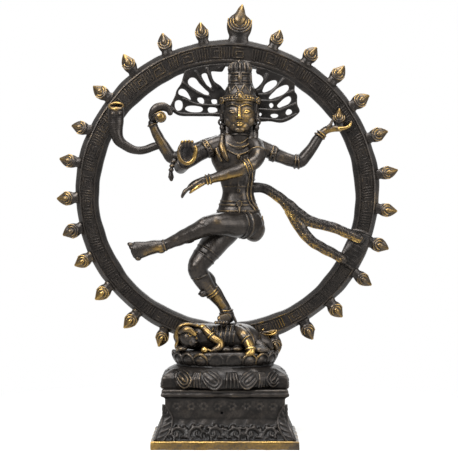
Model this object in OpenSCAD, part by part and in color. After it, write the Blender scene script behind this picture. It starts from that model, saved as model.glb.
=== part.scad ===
// Cast brass dancing image in a ring of flames, standing on a dwarf, a lotus seat and a plinth.
// Sizes are in millimetres. +Z is up, the front faces -Y, the origin is on the floor under the ring.

/* [Plinth] */
// Width of the foot slab
plinth_w = 96.5; // [85:0.5:140]
// Depth of the foot slab
plinth_d = 64; // [56:0.5:100]
// Height of the plinth up to the seat
plinth_h = 38.3; // [32:0.1:60]
// Height of the polished foot slab
slab_h = 5.8; // [4:0.1:10]
// Set-back of the flared course from the slab edge
course_inset = 3.4; // [3:0.1:6]
// Set-back of the upright dado from the slab edge
dado_inset = 9; // [7:0.5:14]
// Height of the flared course above the slab
course_h = 13; // [8:0.5:18]
// Height of the cornice
cornice_h = 5.2; // [3:0.1:8]
// Overhang of the cornice beyond the dado
cornice_out = 2.5; // [1:0.5:5]
// Thickness of the hollow casting
plinth_wall = 4; // [2.5:0.25:6]
// Radius of the vent hole in the front
vent_r = 0.8; // [0.5:0.1:1.5]
// Height of the leaves on the corners
leaf_h = 23; // [15:0.5:26]
// Width of the leaves on the corners
leaf_w = 13; // [8:0.5:18]
// Thickness of the leaves on the corners
leaf_t = 2.5; // [1.5:0.25:3.5]

/* [Lotus seat] */
// Width of the lower petal course
seat_w = 83; // [70:0.5:100]
// Depth of the lower petal course
seat_d = 58; // [50:0.5:80]
// Height of the lower petal course
petal_h = 12.5; // [10:0.5:18]
// Width of the upper petal row
rest_w = 70; // [56:0.5:90]
// Depth of the upper petal row
rest_d = 48; // [40:0.5:70]
// Height of the waist between the two rows
waist_h = 3; // [2:0.5:6]
// Height of the upper petal row
rest_h = 8.4; // [6:0.1:14]
// Set-back of the waist from the upper row
waist_in = 2.5; // [1:0.5:5]
// Width of the tenon under the seat
tenon_w = 34; // [20:0.5:50]
// Depth of the tenon under the seat
tenon_d = 22; // [14:0.5:32]
// Length of the tenon under the seat
tenon_h = 16; // [8:0.5:24]
// Clearance round the tenon
tenon_play = 0.3; // [0.2:0.05:0.6]

/* [Dwarf] */
// Length of the lying dwarf
dwarf_l = 60; // [48:0.5:72]
// Height of the dwarf's back above the seat
dwarf_h = 17.6; // [14:0.1:24]
// Depth of the dwarf
dwarf_d = 21; // [16:0.5:26]

/* [Ring] */
// Radius of the opening in the ring
ring_inner_r = 86.4; // [70:0.1:110]
// Width of the ring's band
ring_band = 15.9; // [12:0.1:18]
// Thickness of the ring
ring_t = 7; // [5:0.25:10]
// Width of the bevels along both edges of the band
ring_bevel = 3.2; // [2:0.1:5]
// Drop of the opening's middle below the rim's middle
opening_drop = 1.9; // [0:0.1:3]
// Width of the foot under the ring
foot_w = 30; // [20:0.5:44]
// Depth of the ring's foot in the seat
foot_in = 7; // [4:0.5:8]
// Radius of the two pins through the foot
pin_r = 1.3; // [0.8:0.1:2]
// Clearance round the pins and the foot
pin_play = 0.1; // [0.05:0.05:0.3]

/* [Flames] */
// Height of a rim flame
flame_h = 12.5; // [9:0.5:16]
// Width of a rim flame
flame_w = 9.5; // [7:0.5:12]
// Thickness of a rim flame
flame_t = 5; // [3:0.5:6]
// Height of the crest flame
crest_h = 24; // [16:0.5:30]
// Width of the crest flame
crest_w = 18; // [12:0.5:22]
// Turn of the crest from the top of the ring, in degrees
crest_turn = 4.2; // [0:0.1:8]

/* [Dancer] */
// Gap that the brazing filler fills between two castings
braze = 0.2; // [0.1:0.05:0.4]
// Thickness of the openwork hair
hair_t = 3; // [2:0.25:4]
// Radius of the hand drum
drum_r = 4; // [3:0.25:5]
// Length of the hand drum
drum_l = 10; // [7:0.5:12]
// Radius of the peg under the standing foot
peg_r = 1.8; // [1.2:0.1:2.4]
// Length of the peg under the standing foot
peg_l = 9; // [6:0.5:14]

/* [Hidden] */
brass = [0.66, 0.53, 0.26];
patina = [0.24, 0.22, 0.2];
ball_sides = 14;
eps = 0.01;
// The plinth's middle stands a little to the left of the ring's middle
plinth_x = -1.5;
dado_w = plinth_w - 2 * dado_inset;
dado_d = plinth_d - 2 * dado_inset;
cornice_z = plinth_h - cornice_h;
// Heights where the seat's parts and the dwarf end
waist_z = plinth_h + petal_h;
rest_z = waist_z + waist_h;
seat_top = rest_z + rest_h;
dwarf_top = seat_top + dwarf_h;
// The dancer's places below are given for an opening of this radius and grow with the ring
drawn_r = 86.4;
drawn_rise = 87.7;
k = ring_inner_r / drawn_r;
ring_r = ring_inner_r + ring_band;
ring_z = dwarf_top + k * drawn_rise;
ring_front = 4.5 * k;
ring_back = ring_front + ring_t;
ring_mid = ring_front + ring_t / 2;
foot_t = ring_t - 2;
foot_z = seat_top - foot_in;
// Turns of the hand-set flames from the top of the ring, in degrees, down the left and the right side
left_turns = [9, 23.3, 38, 51.5, 66, 78.8, 92.2, 103.9, 115.3, 128.6, 143.2, 155.5];
right_turns = [17.6, 31.3, 43.5, 55.6, 69.2, 83.4, 96.4, 109.4, 122.4, 137.1, 149.5, 163];
pin_x = foot_w / 4;
pin_z = seat_top - foot_in / 2;

// A place on the dancer: x and y from the ring's axis, z from the dwarf's back
function place(p) = [k * p[0], k * p[1], dwarf_top + k * p[2]];
// A ball given with one radius gets the same radius along all three axes
function full(p) = len(p) == 6 ? p : [p[0], p[1], p[2], p[3], p[3], p[3]];
function cubic(a, b, c, d, t) =
    0.5 * (2 * b + (c - a) * t + (2 * a - 5 * b + 4 * c - d) * t * t + (3 * b - 3 * c + d - a) * t * t * t);
// A rounded line through the given balls, with a number of steps between each two
function smooth(p, steps) = [
    for (i = [0:len(p) - 2])
        for (j = [0:steps - 1])
            cubic(full(p[max(i - 1, 0)]), full(p[i]), full(p[i + 1]),
                full(p[min(i + 2, len(p) - 1)]), j / steps),
    full(p[len(p) - 1])];

module ball(p, grow) {
    translate(place(p))
        scale([k * p[3] + grow, k * p[4] + grow, k * p[5] + grow])
            sphere(1, $fn = ball_sides);
}

// A limb cast in one piece: balls along a rounded line, each joined to the next
module limb(points, grow, steps = 2) {
    line = smooth(points, steps);
    for (i = [0:len(line) - 2])
        hull() {
            ball(line[i], grow);
            ball(line[i + 1], grow);
        }
}

// Everything behind the ring's front face, which the pieces that lie on the ring are filed flat to
module ring_face_side() {
    size = 4 * ring_r;
    translate([-size / 2, ring_front - braze, ring_z - size / 2])
        cube([size, size, size]);
}

module block(w, d, h) {
    translate([-w / 2, -d / 2, 0])
        cube([w, d, h]);
}

module flare(inset, h, grow = 0) {
    hull() {
        translate([0, 0, slab_h])
            block(plinth_w - 2 * inset + 2 * grow, plinth_d - 2 * inset + 2 * grow, eps);
        translate([0, 0, slab_h + h])
            block(dado_w + 2 * grow, dado_d + 2 * grow, eps);
    }
}

// Plinth: slab, flared course, dado and cornice, hollow and open below, with a socket for the tenon
module plinth() {
    color(patina)
        translate([plinth_x, 0, 0])
            difference() {
                union() {
                    block(plinth_w, plinth_d, slab_h);
                    flare(course_inset, course_h);
                    block(dado_w, dado_d, plinth_h);
                    translate([0, 0, cornice_z])
                        block(dado_w + 2 * cornice_out, dado_d + 2 * cornice_out, cornice_h);
                }
                translate([0, 0, -1])
                    block(dado_w - 2 * plinth_wall, dado_d - 2 * plinth_wall, cornice_z + 1);
                block(tenon_w + 2 * tenon_play, tenon_d + 2 * tenon_play, plinth_h + 1);
                translate([-2, -plinth_d / 2, slab_h + course_h + 4])
                    rotate([-90, 0, 0])
                        cylinder(r = vent_r, h = plinth_d / 2, $fn = 24);
            }
}

// Leaves that wrap the four corners of the flared course
module corner_leaves() {
    color(patina)
        translate([plinth_x, 0, 0])
            for (sx = [-1, 1], sy = [-1, 1])
                difference() {
                    intersection() {
                        flare(course_inset, leaf_h, leaf_t);
                        translate([0, 0, slab_h])
                            rotate([0, 0, atan2(sy * plinth_d, sx * plinth_w) - 90])
                                leaf_blade();
                    }
                    flare(course_inset, course_h, braze);
                    block(dado_w + 2 * braze, dado_d + 2 * braze, plinth_h);
                }
}

// The outline of a leaf, drawn out from the plinth's middle to one side
module leaf_blade() {
    rotate([90, 0, 180])
        linear_extrude(plinth_w)
            polygon([[-leaf_w / 2, -1], [leaf_w / 2, -1], [leaf_w / 2, leaf_h * 0.45],
                [leaf_w * 0.32, leaf_h * 0.8], [0, leaf_h], [-leaf_w * 0.32, leaf_h * 0.8],
                [-leaf_w / 2, leaf_h * 0.45]]);
}

// Lotus seat: lower petal course, waist and upper petal row, with the tenon that drops in the plinth
module lotus_seat() {
    round_r = petal_h / 2;
    corner = [seat_w / 2 - 1.5 * round_r, seat_d / 2 - 1.5 * round_r];
    color(patina)
        difference() {
            union() {
                translate([plinth_x, 0, plinth_h + round_r])
                    intersection() {
                        hull()
                            for (sx = [-1, 1], sy = [-1, 1])
                                translate([sx * corner[0], sy * corner[1], 0])
                                    scale([1.5, 1.5, 1.1])
                                        sphere(round_r, $fn = 32);
                        translate([0, 0, -round_r])
                            block(seat_w, seat_d, petal_h);
                    }
                translate([plinth_x, 0, waist_z - 1])
                    oval(rest_w - 2 * waist_in, rest_d - 2 * waist_in, waist_h + 1 + eps);
                translate([plinth_x, 0, rest_z])
                    oval(rest_w, rest_d, rest_h);
                translate([plinth_x, 0, plinth_h - tenon_h])
                    block(tenon_w, tenon_d, tenon_h + petal_h / 2);
            }
            translate([-foot_w / 2 - pin_play, ring_mid - foot_t / 2 - pin_play, foot_z - pin_play])
                cube([foot_w + 2 * pin_play, foot_t + 2 * pin_play, foot_in + 1]);
            for (sx = [-1, 1])
                pin_line(sx, pin_r + pin_play, rest_d / 2 + 1);
        }
}

module oval(w, d, h) {
    scale([1, d / w, 1])
        cylinder(d = w, h = h, $fn = 64);
}

// The line of a pin, from inside the seat to the given distance behind the ring's axis
module pin_line(side, r, back) {
    translate([side * pin_x, 0, pin_z])
        rotate([-90, 0, 0])
            cylinder(r = r, h = back, $fn = 32);
}

// Dwarf lying on his front with his head to the left and one leg hanging over the seat's edge
module dwarf_form(grow = 0) {
    drawn = [61, 21, 19];
    body = [[-21, -5, 10, 8], [-10, -5, 10.2, 8.8], [2, -5, 10.2, 8.8], [13, -5, 9.8, 8.8], [20, -4, 7.5, 7]];
    skull = [[-22, -6, 11, 5.5], [-27, -9, 11.5, 6.5], [-28.5, -11, 9.5, 5]];
    near_arm = [[-17, -10, 12, 3.6], [-10, -13, 9, 3.2], [-7, -15, 4.5, 2.8], [-13, -16.5, 2.5, 2.5]];
    near_leg = [[12, -10, 12, 5], [16, -14.5, 7, 4], [17.5, -16.5, 2.8, 3], [14, -18.5, 2, 2.2]];
    far_leg = [[20, -5, 7, 6], [25, -8, 4.5, 4.5], [26, -13, 3, 3]];
    translate([plinth_x, 0, seat_top])
        scale([dwarf_l / drawn[0], dwarf_d / drawn[1], dwarf_h / drawn[2]])
            for (line = [body, skull, near_arm, near_leg, far_leg])
                for (i = [0:len(line) - 2])
                    hull() {
                        lump(line[i], grow);
                        lump(line[i + 1], grow);
                    }
}

module lump(p, grow) {
    translate([p[0], p[1], p[2]])
        sphere(p[3] + grow, $fn = ball_sides);
}

module dwarf() {
    color(patina)
        difference() {
            dwarf_form();
            translate([0, 0, seat_top - dwarf_h])
                block(3 * seat_w, 3 * seat_d, dwarf_h);
            translate([0, 0, dwarf_top - braze])
                block(3 * seat_w, 3 * seat_d, dwarf_h);
            ring_face_side();
            peg(braze);
        }
}

// Ring with a flat engraved face, bevelled edges and a foot let into the seat
module halo_ring() {
    color(patina)
        difference() {
            union() {
                translate([0, ring_front, ring_z])
                    rotate([-90, 0, 0])
                        ring_body();
                translate([-foot_w / 2, ring_mid - foot_t / 2, foot_z])
                    cube([foot_w, foot_t, ring_z - ring_r + ring_band / 2 - foot_z]);
            }
            for (sx = [-1, 1])
                pin_line(sx, pin_r + pin_play, ring_back + 1);
        }
}

// The ring lying on its back, with the opening a little nearer the foot
module ring_body() {
    difference() {
        rotate_extrude($fn = 96)
            polygon([[0, 0], [ring_r - ring_bevel, 0], [ring_r, ring_bevel], [ring_r, ring_t],
                [0, ring_t]]);
        translate([0, opening_drop, 0])
            rotate_extrude($fn = 96)
                polygon([[0, -1], [ring_inner_r + ring_bevel + 1, -1], [ring_inner_r, ring_bevel],
                    [ring_inner_r, ring_t + 1], [0, ring_t + 1]]);
    }
}

// Pins that hold the ring's foot in the seat
module ring_pins() {
    color(brass)
        for (sx = [-1, 1])
            intersection() {
                pin_line(sx, pin_r, rest_d / 2 * 0.82);
                translate([-seat_w / 2, 0.5, 0])
                    cube([seat_w, seat_d, ring_z]);
            }
}

module on_rim(turn) {
    translate([0, ring_mid, ring_z])
        rotate([0, turn, 0])
            translate([0, 0, ring_r])
                children();
}

// A flat bud with a neck, standing on the rim
module bud(w, h, t) {
    rotate([90, 0, 0])
        translate([0, 0, -t / 2])
            linear_extrude(t)
                polygon([[-w * 0.32, -2], [w * 0.32, -2], [w * 0.28, h * 0.16], [w * 0.48, h * 0.3],
                    [w * 0.5, h * 0.48], [w * 0.3, h * 0.78], [0, h], [-w * 0.3, h * 0.78],
                    [-w * 0.5, h * 0.48], [-w * 0.48, h * 0.3], [-w * 0.28, h * 0.16]]);
}

module rim_core() {
    translate([0, ring_front - 1, ring_z])
        rotate([-90, 0, 0])
            cylinder(r = ring_r + braze, h = ring_t + 2, $fn = 96);
}

// Small flames round the rim
module rim_flames() {
    color(brass)
        for (turn = concat(-left_turns, right_turns))
            difference() {
                on_rim(turn)
                    bud(flame_w, flame_h, flame_t);
                rim_core();
                translate([plinth_x, 0, plinth_h])
                    oval(rest_w + 2 * braze, rest_d + 2 * braze, seat_top + braze - plinth_h);
            }
}

// Large flame at the top of the ring
module crest_flame() {
    color(brass)
        difference() {
            on_rim(crest_turn)
                bud(crest_w, crest_h, flame_t);
            rim_core();
        }
}

// Torso from the hips to the neck
module torso_form(grow = 0) {
    limb([[7.3, -2, 66.4, 16.8, 9.4, 9.9], [7.3, -2, 78.3, 12.9, 7.9, 6.9],
        [7.3, -2, 88.2, 10.5, 6.9, 5.4], [6.3, -2.5, 101, 13, 8.2, 6.9],
        [5.1, -3, 111.4, 16.3, 8.4, 5.9], [4.4, -2.5, 117.3, 18.3, 6.4, 4.4],
        [7.9, -2.5, 125.3, 5.4, 5.4, 3]], grow);
}

module torso() {
    color(patina)
        difference() {
            torso_form();
            ring_face_side();
        }
}

module peg(grow = 0) {
    translate([0, -4 * k, dwarf_top - peg_l - grow])
        cylinder(r = peg_r + grow, h = peg_l + 3 * k + grow, $fn = 24);
}

// Leg that stands on the dwarf, with the peg under its foot
module standing_leg_form(grow = 0) {
    limb([[-0.5, -2, 63.5, 9.9], [-8.3, -6, 53.7, 8.9], [-14.7, -9, 45.4, 7.9],
        [-19.8, -11, 37.5, 7], [-16.9, -8.5, 30.2, 6.8], [-13, -6, 23.7, 5.9],
        [-7.9, -3, 17.5, 4.5], [-3, -1.5, 12, 3.7], [-0.8, -1, 6.5, 3.9], [0, -2, 3.4, 3.7],
        [-2.5, -9, 2.8, 3.7, 3.9, 2.6], [-4.9, -15, 2.6, 3.7, 2.9, 1.8]], grow);
}

module standing_leg() {
    color(patina)
        union() {
            difference() {
                standing_leg_form();
                torso_form(braze);
                translate([0, 0, dwarf_top - dwarf_h])
                    block(3 * seat_w, 3 * seat_d, dwarf_h);
            }
            peg();
        }
}

// Leg that is raised across the front
module raised_leg_form(grow = 0) {
    limb([[15.3, -3, 66.4, 9.9, 9.9, 9.9], [7.8, -12, 65.1, 7.4], [-5.2, -19, 65.8, 5.7],
        [-13.6, -21, 64.7, 5.6], [-19.4, -20, 61.5, 4.8], [-30.1, -17, 57.2, 4.4],
        [-38.8, -14.5, 53, 3.3], [-41.5, -14, 51.9, 3.9], [-50.7, -15, 50.5, 3.9, 4.3, 3.5],
        [-59.4, -16.5, 48.8, 4.5, 4.9, 4.5], [-63.2, -17, 48.3, 2.3, 4.5, 4.9]], grow);
}

module raised_leg() {
    color(patina)
        difference() {
            raised_leg_form();
            torso_form(braze);
            standing_leg_form(braze);
        }
}

// Head down to the neck
module head_form(grow = 0) {
    limb([[8, -4, 122.2, 5.4], [8, -5.5, 129, 5.4], [8, -6.5, 132.9, 8.5, 7.9, 6.4],
        [8, -5.5, 139.9, 10, 9.7, 8.4], [8, -5, 145.8, 9.7, 9.3, 6.9]], grow);
}

module head() {
    color(brass)
        difference() {
            head_form();
            torso_form(braze);
            crown_form(braze);
            ring_face_side();
        }
}

// Tall crown of twisted hair in three tiers
module crown_form(grow = 0) {
    crown_base = 150.2 * k;
    tiers = [[0, 0], [11, 0], [11.6, 3], [10.6, 5], [9.4, 9], [7.6, 12], [8.4, 14], [8, 18],
        [6.6, 20], [6.6, 23], [3.6, 26], [0, 26]];
    translate([8.6 * k, -5.5 * k, dwarf_top + crown_base - grow])
        rotate_extrude($fn = 48)
            polygon([for (p = tiers) [p[0] > 0 ? k * p[0] + grow : 0, p[1] > 0 ? k * p[1] + 2 * grow : 0]]);
}

module crown() {
    color(patina)
        difference() {
            crown_form();
            ring_face_side();
        }
}

// Rings that hang from the ear lobes
module earrings() {
    color(patina)
        difference() {
            for (side = [-1, 1])
                limb([[8 + side * 9.6, -6, 137.4, 2], [8 + side * 11.4, -7, 133, 2.7],
                    [8 + side * 11.8, -7, 129, 2.4]], 0);
            head_form(braze);
            torso_form(braze);
        }
}

// Openwork hair: a flat outline with a row of slots, each given as its two ends and its radius
module hair(outline, slots) {
    difference() {
        translate([0, ring_front - braze, dwarf_top])
            rotate([90, 0, 0])
                linear_extrude(hair_t)
                    scale(k)
                        difference() {
                            polygon(outline);
                            for (s = slots)
                                hull() {
                                    translate([s[0], s[1]])
                                        circle(s[4], $fn = 16);
                                    translate([s[2], s[3]])
                                        circle(s[4], $fn = 16);
                                }
                        }
        head_form(braze);
        crown_form(braze);
        torso_form(braze);
    }
}

module left_hair() {
    color(patina)
        hair([[4, 137.5], [-17.9, 137.1], [-32.8, 137.5], [-38.3, 140.5], [-39.8, 145.4],
            [-36.3, 151.4], [-33.3, 158.4], [-28.3, 166.3], [-20.9, 172.3], [-12.9, 175.3],
            [-6, 172.3], [2, 160.3]],
            [[-32.8, 145.4, -31.8, 146, 2.6], [-26.4, 142.6, -17.9, 143, 1.7],
            [-11.4, 142.2, -8.5, 142.2, 1.7], [-18.9, 148.8, -16.4, 148.8, 1.8],
            [-9, 148.4, -8, 148.4, 1.7], [-30.8, 153.8, -25.9, 150.8, 2.4],
            [-25.9, 162.3, -14.9, 155.4, 3], [-16.4, 168.8, -9.4, 159.8, 2],
            [-8, 166.3, -6, 158.4, 1.6]]);
}

module right_hair() {
    color(patina)
        hair([[11.9, 133.5], [23.9, 133.5], [37.8, 133.1], [45.7, 136.5], [49.7, 141.5],
            [47.2, 148.4], [46.2, 156.4], [42.8, 164.3], [35.8, 169.3], [26.9, 172.8],
            [20.9, 170.3], [13.9, 160.3]],
            [[41.3, 140.5, 41.8, 141.1, 2.8], [30.8, 138.1, 33.8, 138.3, 1.5],
            [29.3, 145.4, 30.3, 145.4, 1.8], [36.8, 148.4, 42.3, 151.4, 2.2],
            [30.8, 153.4, 39.8, 160.3, 2.8], [25.9, 157.4, 32.3, 165.8, 2.4],
            [23.4, 158.4, 25.4, 165.3, 1.6]]);
}

// Arm that holds the drum
module drum_arm_form(grow = 0) {
    limb([[-8.9, 0, 117, 5.4], [-23.8, 0.5, 113, 4.6], [-36.2, 0.5, 110, 4.4],
        [-43.1, 0, 119.4, 3.9], [-49.5, -0.5, 131.1, 3.2], [-50.5, -1.5, 137.2, 3.3],
        [-47, -2, 143.1, 3], [-41.5, -2.5, 144, 2.4], [-38, -3.5, 140.5, 1.9]], grow);
}

module drum_arm() {
    color(patina)
        difference() {
            drum_arm_form();
            torso_form(braze);
            drum_form(braze);
            blessing_arm_form(braze);
            ring_face_side();
        }
}

// Small hourglass drum held towards the front
module drum_form(grow = 0) {
    half = drum_l / 2 + grow;
    translate([-43.7 * k, -3 * k, dwarf_top + 137.1 * k])
        rotate([90, 0, 0])
            rotate_extrude($fn = 48)
                polygon([[0, -half], [drum_r + grow, -half], [drum_r * 0.6 + grow, 0],
                    [drum_r + grow, half], [0, half]]);
}

module drum() {
    color(brass)
        difference() {
            drum_form();
            ring_face_side();
        }
}

// Arm with the open hand raised in front
module blessing_arm_form(grow = 0) {
    limb([[-8.9, -6, 116.2, 5.7], [-20.6, -9, 109.7, 5.1], [-30.8, -11.5, 103.7, 4.7],
        [-30.1, -18, 104, 4.1], [-27.5, -25, 106.7, 3.5], [-26.1, -27.5, 110.5, 5.4, 2.9, 3.8],
        [-25.9, -28, 114.3, 6.1, 2.9, 3.8], [-25.9, -28.5, 118.1, 4.4, 2.3, 3.3]], grow);
}

module blessing_arm() {
    color(patina)
        difference() {
            blessing_arm_form();
            torso_form(braze);
        }
}

// Tassel that hangs from the armlet
module arm_tassel() {
    color(patina)
        difference() {
            limb([[-35.7, -11, 107.2, 2.2], [-37.2, -11, 103.3, 2], [-37.2, -11, 99.4, 1.8],
                [-36.8, -11, 96.9, 1.6]], 0, 3);
            blessing_arm_form(braze);
            drum_arm_form(braze);
        }
}

// Arm that crosses the chest and points down at the raised foot
module crossing_arm_form(grow = 0) {
    limb([[19.7, -6, 116.2, 5.7], [20, -12.5, 110.1, 5.1], [16, -18, 105.5, 4.6],
        [4.8, -20, 100.1, 4.1], [-13.1, -20.5, 95.3, 3.1], [-20.8, -20, 92.4, 2.9, 3.5, 2.9],
        [-26.7, -19.5, 88, 2.3], [-29.6, -19.5, 83.6, 1.5]], grow);
}

module crossing_arm() {
    color(patina)
        difference() {
            crossing_arm_form();
            torso_form(braze);
        }
}

// Arm that holds the flame against the ring
module flame_arm_form(grow = 0) {
    limb([[19.8, 0, 117, 5.4], [34.7, 0.5, 111.5, 4.7], [48.6, 0.5, 107.6, 4.4],
        [56.5, 0.5, 117, 3.8], [63.5, 1, 126.9, 3.1], [69.5, 1.5, 129.9, 3, 3, 2.8],
        [76.5, 2, 130, 3, 2.8, 2.2], [80.5, 2.5, 129.5, 2.4, 2.4, 1.8]], grow);
}

module flame_arm() {
    color(patina)
        difference() {
            flame_arm_form();
            torso_form(braze);
            crossing_arm_form(braze);
            ring_face_side();
        }
}

// Flame that stands on the open hand
module hand_flame() {
    color(brass)
        difference() {
            translate(place([74.3, 1.6, 130.9]))
                bud(8.5 * k, 11.5 * k, 3 * k);
            flame_arm_form(braze);
            ring_face_side();
        }
}

// Serpent that rises from the arm, with its hood lying on the ring
module serpent_form(grow = 0) {
    limb([[-43.7, 1, 119, 2.5], [-48.1, 1.2, 118.1, 2.7], [-54.6, 1.2, 115.8, 2.8],
        [-61.5, 1, 115.5, 2.9], [-68.5, 0.8, 118.5, 3.1], [-73.2, 0.6, 123.4, 3.3],
        [-74.4, 0.4, 130.9, 4, 3.9, 3.9], [-74, 0.4, 139.8, 4.7, 3.9, 4],
        [-73.6, 0.6, 146.7, 4.4, 3.6, 2]], grow);
}

module serpent() {
    color(patina)
        difference() {
            serpent_form();
            drum_arm_form(braze);
            ring_face_side();
        }
}

// Scaly sash from the waist, forked, with both ends lying on the ring
module sash() {
    color(patina)
        difference() {
            union() {
                limb([[13.9, 0.5, 90.2, 3.8, 3.4, 3.8], [23.8, 1.2, 90.2, 3.4, 3, 3.4],
                    [30.8, 1.4, 86.7, 3.4, 3, 3.4], [37.4, 1.4, 81.8, 3.8, 3, 3.8],
                    [43.7, 1.4, 75.3, 4.8, 3.2, 4.8], [50.2, 1.4, 71.6, 3.8, 3.2, 3.8],
                    [58.2, 1.2, 67.4, 3.7, 3.3, 3.7], [69.5, 1, 64.3, 3.6, 3.4, 3.6],
                    [77.6, 0.9, 61.1, 3.5], [85.3, 0.9, 57.8, 3.4],
                    [89.8, 0.9, 55.6, 2.8, 3.4, 2.8]], 0);
                limb([[41.7, 1.4, 74.8, 3.8, 3.2, 3.8], [45.7, 1.4, 67.9, 3.9, 3.2, 3.9],
                    [50.6, 1.2, 60.3, 3.8, 3.3, 3.8], [56.6, 1, 54.6, 3.7, 3.4, 3.7],
                    [64.5, 0.9, 49.8, 3.6], [72.4, 0.9, 45.7, 3.5], [77.9, 0.9, 42.1, 3]], 0);
            }
            torso_form(braze);
            raised_leg_form(braze);
            ring_face_side();
        }
}

// Bell on the anklet of the standing leg
module anklet_bell() {
    color(patina)
        difference() {
            limb([[-13.2, -9, 20.9, 2.4], [-15.7, -9.6, 20.5, 2.8], [-17.1, -10, 20.2, 2.2]], 0, 4);
            standing_leg_form(braze);
        }
}

plinth();
corner_leaves();
lotus_seat();
dwarf();
halo_ring();
ring_pins();
rim_flames();
crest_flame();
torso();
standing_leg();
raised_leg();
head();
crown();
earrings();
left_hair();
right_hair();
drum_arm();
drum();
blessing_arm();
arm_tassel();
crossing_arm();
flame_arm();
hand_flame();
serpent();
sash();
anklet_bell();
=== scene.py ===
"""Cast brass dancing image in a ring of flames, blackened and rubbed back to brass on its high places.

Pieces are modelled in millimetres as wax rolls and pellets, fused in one skin as a mould does, and
then scaled to metres. The dancer's heights are counted from the dwarf's back.
"""
import math
import random

import bmesh
import bpy
import numpy as np
from mathutils import Matrix, Vector


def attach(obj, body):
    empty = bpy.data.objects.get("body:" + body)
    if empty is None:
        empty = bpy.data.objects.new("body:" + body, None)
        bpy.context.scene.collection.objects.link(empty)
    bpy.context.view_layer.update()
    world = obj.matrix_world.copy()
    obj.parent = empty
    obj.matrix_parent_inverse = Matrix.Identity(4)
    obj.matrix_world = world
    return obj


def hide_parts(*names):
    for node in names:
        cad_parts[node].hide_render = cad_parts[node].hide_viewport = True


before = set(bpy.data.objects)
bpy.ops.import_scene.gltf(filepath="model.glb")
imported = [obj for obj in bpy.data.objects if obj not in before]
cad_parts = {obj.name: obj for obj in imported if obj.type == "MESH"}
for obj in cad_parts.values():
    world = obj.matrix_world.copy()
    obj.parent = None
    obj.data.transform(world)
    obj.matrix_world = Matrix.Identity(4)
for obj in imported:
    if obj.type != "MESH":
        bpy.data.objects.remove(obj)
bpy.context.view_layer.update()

MM = 0.001
BACK = 79.8        # height of the dwarf's back
RING_Z = 167.5     # height of the ring's middle
RING_R = 102.3     # radius of the ring's rim
RING_BAND = 94.3   # radius of the middle of the ring's band
RING_MID = 8       # depth of the ring's middle
SEAT_X = -1.5      # the seat's and the plinth's middle
SLAB_H = 5.8       # height of the plinth's slab
chance = random.Random(7)


# Wax working

def turned(degrees, axis):
    return Matrix.Rotation(math.radians(degrees), 4, axis)


def smooth_line(rows, steps, closed=False):
    """A rounded line through rows of x, y, z and one or two radii."""
    rows = [np.array(r if len(r) == 5 else (*r, r[3]), float) for r in rows]
    n = len(rows)
    line = []
    for i in range(n if closed else n - 1):
        a, b, c, d = (rows[(i + s) % n] if closed else rows[min(max(i + s, 0), n - 1)] for s in (-1, 0, 1, 2))
        for j in range(steps):
            t = j / steps
            line.append(0.5 * (2 * b + (c - a) * t + (2 * a - 5 * b + 4 * c - d) * t * t
                               + (3 * b - 3 * c + d - a) * t ** 3))
    return line if closed else line + [rows[-1]]


def dome(end, inner):
    """Two shrinking rows that round off the end of a roll."""
    out = end[:3] - inner[:3]
    out = out / max(np.linalg.norm(out), 1e-6)
    reach = min(end[3], end[4])
    steps = ((0.7, 0.7), (0.98, 0.16))    # share of the reach, and of the radii
    return [np.concatenate([end[:3] + out * reach * up, end[3:] * small]) for up, small in steps]


def put(bm, part, matrix=None):
    """Adds a finished bit of wax to a piece."""
    mesh = bpy.data.meshes.new("wax")
    part.to_mesh(mesh)
    part.free()
    if matrix:
        mesh.transform(matrix)
    bm.from_mesh(mesh)
    bpy.data.meshes.remove(mesh)


def pulled(part, edges):
    """Pulls a new ring out of the last one: its points and its edges."""
    grown = bmesh.ops.extrude_edge_only(part, edges=edges)["geom"]
    return [[g for g in grown if isinstance(g, kind)] for kind in (bmesh.types.BMVert, bmesh.types.BMEdge)]


def roll(bm, rows, sides=8, steps=4, ends="round", closed=False):
    """A wax roll: a round carried along a line. A row is x, y, z, width and depth, the last two as radii."""
    line = smooth_line(rows, steps, closed)
    sides = max(sides, min(48, int(6 * max(max(r[3:]) for r in line))))
    if ends == "round" and not closed:
        line = dome(line[0], line[1])[::-1] + line + dome(line[-1], line[-2])
    spots = [Vector(r[:3]) for r in line]
    n = len(line)
    part = bmesh.new()
    across = along = was = None
    for i, row in enumerate(line):
        ahead = spots[(i + 1) % n if closed else min(i + 1, n - 1)] - spots[i - 1 if closed else max(i - 1, 0)]
        along = ahead.normalized() if ahead.length > 1e-6 else along
        turn = along.cross(Vector((0, 1, 0)))
        if turn.length < 0.4:
            turn = across or along.cross(Vector((0, 0, 1)))
        if across and turn.dot(across) < 0:
            turn = -turn
        across = (turn - along * turn.dot(along)).normalized()
        width, depth = max(row[3], 0.05), max(row[4], 0.05)
        place = Matrix((across * width, along.cross(across) * depth, along)).transposed().to_4x4()
        place.translation = spots[i]
        if was is None:
            ring = bmesh.ops.create_circle(part, segments=sides, radius=1, cap_ends=not closed,
                                           matrix=place)["verts"]
            edges = first = list({e for v in ring for e in v.link_edges})
        else:
            ring, edges = pulled(part, edges)
            bmesh.ops.transform(part, matrix=place @ was.inverted(), verts=ring)
        was = place
    if closed:
        bmesh.ops.bridge_loops(part, edges=first + edges)
    else:
        bmesh.ops.holes_fill(part, edges=edges, sides=0)
    bmesh.ops.recalc_face_normals(part, faces=part.faces)
    put(bm, part)


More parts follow.
